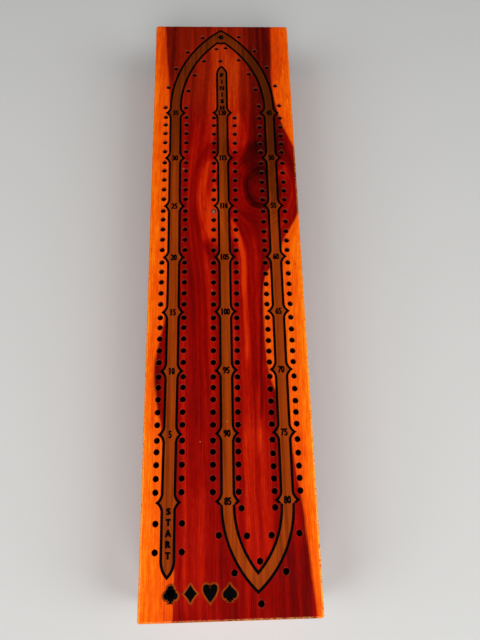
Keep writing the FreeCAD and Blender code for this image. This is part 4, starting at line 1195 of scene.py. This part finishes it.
# %% The suits
SUIT_STEM = (((0.3, -1.2), (0.35, -3.7), (1.4, -4.4)),)
SUIT_CURVES = {
    "diamond": (((0.0, 4.4), (1.35, 1.8), (3.4, 0.0)), ((3.4, 0.0), (1.35, -1.8), (0.0, -4.4))),
    "heart": (((0.0, 2.2), (0.6, 4.3), (2.1, 4.2)), ((2.1, 4.2), (3.8, 4.1), (3.8, 2.0)),
              ((3.8, 2.0), (3.7, -0.4), (0.0, -4.4))),
    "spade": (((0.0, 4.4), (0.4, 2.8), (2.3, 1.4)), ((2.3, 1.4), (3.7, 0.3), (3.7, -0.9)),
              ((3.7, -0.9), (3.5, -2.8), (1.9, -2.8)), ((1.9, -2.8), (0.8, -2.8), (0.3, -1.4))),
}
CLUB_LOBES = ((0.0, 2.35), (-1.95, -0.75), (1.95, -0.75), (0.0, 0.3))
CLUB_RADIUS = 1.8
CLUB_TURNS = 32
SUIT_PLACES = (("club", -31.4), ("diamond", -21.1), ("heart", -10.8), ("spade", -0.5))
SUIT_LEVEL = -181.9
SUIT_BORDER = 0.95


def mirrored(curves):
    """A closed outline from the curves of its right side, given from the top down."""
    right = [point for curve in curves for point in bent(*curve)]
    return without_repeats(right + [(-x, y) for x, y in right[::-1]])


def suit_outlines(suit):
    """The outlines that make up a suit, centred on zero."""
    if suit == "club":
        turns = [math.tau * step / CLUB_TURNS for step in range(CLUB_TURNS)]
        outlines = [[(x + CLUB_RADIUS * math.sin(turn), y + CLUB_RADIUS * math.cos(turn)) for turn in turns]
                    for x, y in CLUB_LOBES]
    else:
        outlines = [mirrored(SUIT_CURVES[suit])]
    return outlines + ([mirrored(SUIT_STEM)] if suit in ("club", "spade") else [])


def grown_outline(outline, rim):
    """An outline that runs clockwise, with every corner pushed out by a rim."""
    count = len(outline)
    sides = [((corner + 1) % count, corner) for corner in range(count)]
    steps = outward_steps(outline, sides, (rim, rim))
    return [(x + steps[corner][0], y + steps[corner][1]) for corner, (x, y) in enumerate(outline)]


def print_suits(name, rim, lift, finish):
    outlines = []
    for suit, across in SUIT_PLACES:
        for outline in suit_outlines(suit):
            grown = grown_outline(outline, rim) if rim else outline
            outlines.append([(across + x, SUIT_LEVEL + y) for x, y in grown])
    return flat_piece(name, outlines, lift, finish)


print_suits("suit_borders", SUIT_BORDER, BLACK_LIFT, BROWN_STAIN)
print_suits("suit_row", 0.0, BROWN_LIFT, BLACK_INK)
print("suits in the row:", len(SUIT_PLACES))

# %% [markdown]
# ## Lips of the peg holes, with a painted highlight
# Varnish gathers and dulls round every hole, and the lip catches the light as a pale ring, which is a painted
# highlight. The frame knows where the holes are: a hole's wall faces its axis, so one radius out from each
# wall that meets the top face is the middle of a hole. A thin ring is laid there. A list of typed places
# would do until the board changes; this one follows it.

# %% The holes and their lips
HOLE_RADIUS = 1.75
NEAR_TOP = 0.01
UPRIGHT = 0.1
LIP_WIDTH = 0.38
LIP_TURNS = 20
LIP_LIFT = 0.01


def find_holes():
    """The middles of the holes in the board's top face, in board millimetres."""
    board = nodes["top_board"].data
    spots = [(vertex.co - BOARD_ZERO) / MM for vertex in board.vertices]
    holes = []
    for wall in board.polygons:
        rim = [spots[corner] for corner in wall.vertices if abs(spots[corner].z) < NEAR_TOP]
        if rim and abs(wall.normal.z) < UPRIGHT:
            axis = sum(rim, Vector()) / len(rim) + wall.normal * HOLE_RADIUS
            same = [hole for hole in holes if math.dist(hole[0], axis[:2]) < HOLE_RADIUS]
            if same:
                same[0].append(axis[:2])
            else:
                holes.append([axis[:2]])
    return [reach_of(hole)[0] for hole in holes]


def make_lip_varnish():
    finish, bench, shader = new_finish("lip_highlight_varnish", Coat_Weight=0.7, **VARNISH)
    place = place_on_board(bench)
    colour = bench.group(CEDAR_FIGURE, Place=place)["Colour"]
    # painted highlight: the pale greyish ring where each hole's lip catches the light, broken up by noise
    patchy = bench.between(bench.cloud(place, 0.7, detail=2.0), 0.4, 0.65, 0.0, 0.24)
    bench.plug(shader, {"Base Color": bench.mix(patchy, colour, tone(150, 80, 56)), "Roughness": 0.4})
    return finish


def ring_of(middle, reach, turns):
    """Points round a middle, as pairs."""
    angles = [math.tau * step / turns for step in range(turns)]
    return [(middle[0] + reach * math.cos(angle), middle[1] + reach * math.sin(angle)) for angle in angles]


def join_rings(shape, inner, outer):
    """Faces between two rings of corners."""
    for a in range(len(inner)):
        b = (a + 1) % len(inner)
        shape.faces.new((inner[a], outer[a], outer[b], inner[b]))


def lay_lips(finish):
    shape = bmesh.new()
    for hole in HOLES:
        rims = []
        for reach in (HOLE_RADIUS, HOLE_RADIUS + LIP_WIDTH):
            spots = [on_board(x, y, LIP_LIFT) for x, y in ring_of(hole, reach, LIP_TURNS)]
            rims.append([shape.verts.new(spot) for spot in spots])
        join_rings(shape, *rims)
    return finished_piece("hole_lip_highlights", shape, finish, "case")


HOLES = find_holes()
lay_lips(make_lip_varnish())
print("holes found in the board:", len(HOLES))

# %% [markdown]
# ## A stopped hole
# One hole of the centre lane is stopped up with a pinch of grey fluff: a rough little cushion that sits just
# under the surface. Its rings sink towards the hole's wall, and noise lifts its middle into lumps.

# %% The plug of fluff
STOPPED_HOLE = (-7.7, 41.3)
PLUG_RINGS, PLUG_TURNS = 6, 20
PLUG_SIZE = 1.5
PLUG_DEPTH = 0.35
PLUG_BASE = 1.4
PLUG_ROUNDNESS = 4
LUMP_HEIGHT = 0.3
LUMP_SCALE = 1.7
LUMP_SLICE = 3.7


def make_fluff():
    finish, bench, shader = new_finish("grey_fluff", Roughness=0.95, Sheen_Weight=0.3)
    lumps = bench.cloud(place_in_mm(bench), 1.6, detail=4.0)
    stops = tone_steps((0.3, 70, 34, 26), (0.55, 140, 84, 70), (0.75, 186, 150, 138))
    bench.plug(shader, {"Base Color": bench.tones(lumps, stops), "Normal": bench.relief(lumps, 0.6, 0.2)})
    return finish


def make_plug(middle, finish):
    shape = bmesh.new()
    rings = []
    for ring in range(1, PLUG_RINGS + 1):
        share = ring / PLUG_RINGS
        sink = PLUG_DEPTH + (PLUG_BASE - PLUG_DEPTH) * share ** PLUG_ROUNDNESS
        row = []
        for x, y in ring_of((0.0, 0.0), PLUG_SIZE * ring / PLUG_RINGS, PLUG_TURNS):
            lump = LUMP_HEIGHT * noise.noise(Vector((x, y, LUMP_SLICE)) * LUMP_SCALE)
            row.append(shape.verts.new(on_board(middle[0] + x, middle[1] + y, -sink + lump * (1 - share))))
        rings.append(row)
    for inner, outer in zip(rings, rings[1:]):
        join_rings(shape, inner, outer)
    shape.faces.new(rings[0])
    for face in shape.faces:
        face.smooth = True
    return finished_piece("hole_fluff", shape, finish, "case")


stopped = min(HOLES, key=lambda hole: math.dist(hole, STOPPED_HOLE))
make_plug(stopped, make_fluff())
print("stopped hole at, mm:", [round(value, 2) for value in stopped])

# %% [markdown]
# ## Planks of the case and the drawer
# The rails, the end block and the drawer front are cedar too, the drawer is a pale plain wood, and the two
# thin panels are birch. They share one recipe: grain along the plank, darker and rougher sawn ends, eased
# edges, and three or four tones. Each plank is cut from another place in the tree, which is a shift of its
# place, and a cross piece is turned so that its grain runs across the box.

# %% One recipe for planks
CEDAR_TONES = tone_steps((0.05, 120, 14, 2), (0.35, 160, 34, 6), (0.6, 190, 62, 12), (0.9, 222, 104, 28))
PALE_TONES = tone_steps((0.1, 176, 132, 84), (0.45, 206, 166, 114), (0.9, 224, 190, 140))
BIRCH_TONES = tone_steps((0.1, 162, 112, 62), (0.5, 192, 142, 86), (0.9, 212, 168, 110))
DOWEL_TONES = tone_steps((0.1, 150, 104, 58), (0.5, 196, 150, 96), (0.9, 214, 174, 122))
PLANK_FIBRE = 0.5
SAWN_END_DARKNESS = 0.25


def plank_finish(name, tones, offset, ring, gloss, crosswise=False, coat=0.0, edge_tone=None):
    finish, bench, shader = new_finish(name, Coat_Weight=coat, Coat_Roughness=0.2)
    place = place_in_mm(bench, offset)
    tilt = bench.split(bench.add("TexCoord").outputs["Normal"])
    along_grain = tilt[0] if crosswise else tilt[1]
    if crosswise:
        x, y, z = bench.split(place)
        place = bench.join(y, x, z)
    grain = bench.group(WOOD_GRAIN, Place=place, Ring_width=ring, Fibre_width=PLANK_FIBRE, Wander=9.0)
    cloudy = bench.cloud(place, (0.05, 0.01, 0.05), detail=2.0)
    share = bench.weighed((grain["Rings"], 0.42), (grain["Fibre"], 0.2), (cloudy, 0.5), -0.06)
    colour = bench.tones(share, tones)

    sawn = bench.between(bench.math("ABSOLUTE", along_grain), 0.75, 0.95)
    pores = bench.between(bench.cloud(place, 2.4, detail=3.0), 0.4, 0.7)
    darkest = tones[0][1][:3]
    end_tone = tuple(SAWN_END_DARKNESS * value for value in darkest) + (1.0,)
    colour = bench.mix(sawn, colour, bench.mix(bench.scaled(pores, 0.3, 0.25), colour, end_tone))
    edges = bench.group(EASED_EDGES, Place=place, Radius=0.5)
    colour = bench.mix(bench.times(edges["Edge"], 0.55), colour, edge_tone or tones[-1][1])

    marks = bench.group(HANDLING_MARKS, Place=place, Scale=0.4)
    rough = bench.weighed(gloss, (grain["Fibre"], 0.1), (sawn, 0.2), (marks["Smudges"], 0.06))
    height = bench.weighed((grain["Fibre"], 0.6), (grain["Rings"], 0.4), (marks["Scratches"], -0.4))
    relief = bench.relief(height, 0.35, 0.08, edges["Normal"])
    bench.plug(shader, {"Base Color": colour, "Roughness": rough, "Normal": relief})
    return finish


print("tones in cedar planks:", len(CEDAR_TONES))

# %% [markdown]
# A varnished case wants a coat over the wood and a drawer does not. The shift is a whole tree away from the
# next piece, so no two planks match.

# %% The planks
CASE_PLANKS = (("left_rail", False), ("right_rail", False), ("end_block", True), ("drawer_front", True))
DRAWER_PLANKS = (("drawer_left_side", False), ("drawer_right_side", False), ("drawer_back", True),
                 ("front_divider", True), ("rear_divider", True))
THIN_PANELS = (("bottom_panel", False), ("drawer_bottom", False))
TREE_STEP = (310.0, 170.0, 95.0)
MOST_PLANKS = 5

plank_kinds = (
    (CASE_PLANKS, dict(tones=CEDAR_TONES, ring=5.5, gloss=0.38, coat=0.35, edge_tone=tone(236, 150, 70))),
    (DRAWER_PLANKS, dict(tones=PALE_TONES, ring=4.0, gloss=0.6)),
    (THIN_PANELS, dict(tones=BIRCH_TONES, ring=9.0, gloss=0.62)),
)
for kind_row, (planks, recipe) in enumerate(plank_kinds):
    for row, (node, crosswise) in enumerate(planks):
        away = tuple(step * (1 + row + MOST_PLANKS * kind_row) for step in TREE_STEP)
        dress(node, plank_finish(f"{node}_wood", offset=away, crosswise=crosswise, **recipe))
dowel_ends = plank_finish("dowel_ends", DOWEL_TONES, TREE_STEP, ring=1.2, gloss=0.45, crosswise=True)
dress("end_block_dowels", dowel_ends)
print("planks dressed:", sum(len(planks) for planks, recipe in plank_kinds))

# %% [markdown]
# ## Turned metal
# The knob and its machine screw are brass, turned on a lathe, so fine rings run round their axis, and hands
# have polished the head while the neck stayed brown. The group takes a place measured from the axis and gives
# the height of those rings. The screws under the box are plain steel with a dull skin of zinc.

# %% Group: lathe_rings
knob_low, knob_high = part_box("drawer_knob")
KNOB_AXIS = (knob_low + knob_high) / 2 / MM


def make_lathe_rings():
    takes = {"Place": "Vector", "Spacing": "Float"}
    group, bench, given, out = new_group("lathe_rings", takes, {"Rings": "Float"})
    x, y, z = bench.split(given["Place"])
    from_axis = bench.length(bench.join(x, z))
    turn = bench.over(bench.weighed(from_axis, (y, 0.8)), given["Spacing"])
    bench.plug(out, {"Rings": bench.cloud(bench.join(turn, 0.0), 1.0, detail=2.0, roughness=0.7)})
    return group


LATHE_RINGS = make_lathe_rings()
print("knob axis at, mm:", [round(value, 2) for value in KNOB_AXIS])

# %% Finish: turned_brass
NECK_SPAN = (1.4, 6.0)
neck_start, neck_end = [knob_low.y / MM + step for step in NECK_SPAN]


def make_turned_brass(name):
    finish, bench, shader = new_finish(name, Metallic=1.0)
    place = place_in_mm(bench, (-KNOB_AXIS.x, 0.0, -KNOB_AXIS.z))
    along = bench.split(place)[1]
    rings = bench.group(LATHE_RINGS, Place=place, Spacing=0.22)
    marks = bench.group(HANDLING_MARKS, Place=place, Scale=1.4)
    blotches = bench.between(bench.cloud(place, 0.5, detail=4.0), 0.35, 0.7)
    hidden = bench.times(bench.between(along, neck_start - 1.0, neck_start),
                         bench.between(along, neck_end + 0.6, neck_end - 0.8))
    tarnish = bench.math("MAXIMUM", bench.times(blotches, 0.3), bench.times(hidden, 0.75))
    colour = bench.mix(tarnish, tone(222, 178, 92), tone(122, 82, 34))
    colour = bench.mix(bench.times(marks["Scratches"], 0.4), colour, tone(240, 208, 136))
    rough = bench.weighed(0.2, (tarnish, 0.3), (marks["Smudges"], 0.1))
    relief = bench.relief(rings["Rings"], 0.3, 0.03)
    bench.plug(shader, {"Base Color": colour, "Roughness": rough, "Normal": relief})
    return finish


turned_brass = make_turned_brass("turned_brass")
for node in ("drawer_knob", "knob_screw"):
    dress(node, turned_brass)
print("brass neck runs over y, mm:", round(neck_start, 2), round(neck_end, 2))

# %% Finish: zinc_steel


def make_zinc_steel():
    finish, bench, shader = new_finish("zinc_steel", Metallic=1.0)
    place = place_in_mm(bench)
    spangle = bench.cloud(place, 1.1, detail=3.0)
    marks = bench.group(HANDLING_MARKS, Place=place, Scale=1.8)
    rust = bench.between(bench.cloud(place, 0.7, detail=5.0, roughness=0.7), 0.58, 0.75)
    colour = bench.mix(spangle, tone(142, 142, 146), tone(196, 196, 200))
    colour = bench.mix(bench.times(rust, 0.5), colour, tone(112, 74, 48))
    rough = bench.weighed(0.34, (spangle, 0.15), (rust, 0.25))
    height = bench.weighed(spangle, (marks["Scratches"], -0.6))
    relief = bench.relief(height, 0.3, 0.04)
    bench.plug(shader, {"Base Color": colour, "Roughness": rough, "Normal": relief})
    return finish


zinc_steel = make_zinc_steel()
STEEL_NODES = ("bottom_screws", "stop_screw", "drawer_front_brads", "drawer_back_brads")
for node in STEEL_NODES:
    dress(node, zinc_steel)
print("steel pieces:", len(STEEL_NODES))

# %% [markdown]
# ## Pads and pegs
# The pads are black rubber discs, dusty where they meet the table. The pegs are moulded plastic that light
# goes a little way into, with a swirl in it and a few scuffs: two red and two ivory, a pair for each player.

# %% Finishes: pad_rubber and moulded pegs


def make_rubber():
    finish, bench, shader = new_finish("pad_rubber", Specular_IOR_Level=0.35)
    place = place_in_mm(bench)
    up = bench.split(place)[2]
    grit = bench.cloud(place, 2.6, detail=4.0)
    dust = bench.times(bench.between(up, 0.9, 0.1), bench.between(grit, 0.4, 0.7))
    colour = bench.mix(bench.scaled(dust, 0.6, 0.08), tone(30, 28, 27), tone(128, 118, 106))
    relief = bench.relief(grit, 0.5, 0.08)
    rough = bench.scaled(grit, 0.3, 0.6)
    bench.plug(shader, {"Base Color": colour, "Roughness": rough, "Normal": relief})
    return finish


def make_moulded(name, light_tone, deep_tone):
    finish, bench, shader = new_finish(name, Subsurface_Weight=0.12, Subsurface_Scale=0.002)
    place = place_in_mm(bench)
    swirl = bench.cloud(place, 0.25, detail=3.0, distortion=1.5)
    marks = bench.group(HANDLING_MARKS, Place=place, Scale=1.2)
    colour = bench.mix(bench.between(swirl, 0.3, 0.7), deep_tone, light_tone)
    colour = bench.mix(bench.times(marks["Scratches"], 0.3), colour, tone(240, 226, 206))
    rough = bench.weighed(0.3, (marks["Smudges"], 0.16))
    height = bench.weighed((swirl, 0.5), marks["Scratches"])
    relief = bench.relief(height, 0.25, 0.04)
    bench.plug(shader, {"Base Color": colour, "Roughness": rough, "Normal": relief})
    return finish


rubber = make_rubber()
pads = [node for node in nodes if node.startswith("foot_pad")]
for node in pads:
    dress(node, rubber)
red_plastic = make_moulded("red_peg_plastic", tone(196, 30, 22), tone(158, 14, 12))
ivory_plastic = make_moulded("ivory_peg_plastic", tone(238, 226, 196), tone(220, 200, 160))
for plastic, pair in ((red_plastic, ("peg_1", "peg_2")), (ivory_plastic, ("peg_3", "peg_4"))):
    for node in pair:
        dress(node, plastic)
print("rubber pads:", len(pads))

# %% [markdown]
# ## The pale floor
# The floor is only a stage for the box: a wide plain sheet at the height where the pads stand.

# %% Floor
FLOOR_HALF = 6.0
floor_mesh = bpy.data.meshes.new("pale_floor")
corners = [(x * FLOOR_HALF, y * FLOOR_HALF, 0.0) for x, y in ((-1, -1), (1, -1), (1, 1), (-1, 1))]
floor_mesh.from_pydata(corners, [], [(0, 1, 2, 3)])
floor = bpy.data.objects.new("pale_floor", floor_mesh)
floor_finish, floor_bench, floor_shader = new_finish("pale_floor", Roughness=0.85)
floor_bench.plug(floor_shader, {"Base Color": tone(200, 200, 198)})
floor_mesh.materials.append(floor_finish)
bpy.context.scene.collection.objects.link(floor)
floor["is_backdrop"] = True
print("floor is wide, m:", 2 * FLOOR_HALF)

# %% [markdown]
# ## Size and finish
# The dressed box is measured against the solid model's box, and how far it grows past it is printed.
# The dressed box has to stay inside the solid model's box.

# %% Measure against the solid model
visual_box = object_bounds()
grown = [max(a - b, c - d) / MM for a, b, c, d in zip(cad_box[0], visual_box[0], visual_box[1], cad_box[1])]
print("grown past the solid model, mm:", [round(value, 3) for value in grown])
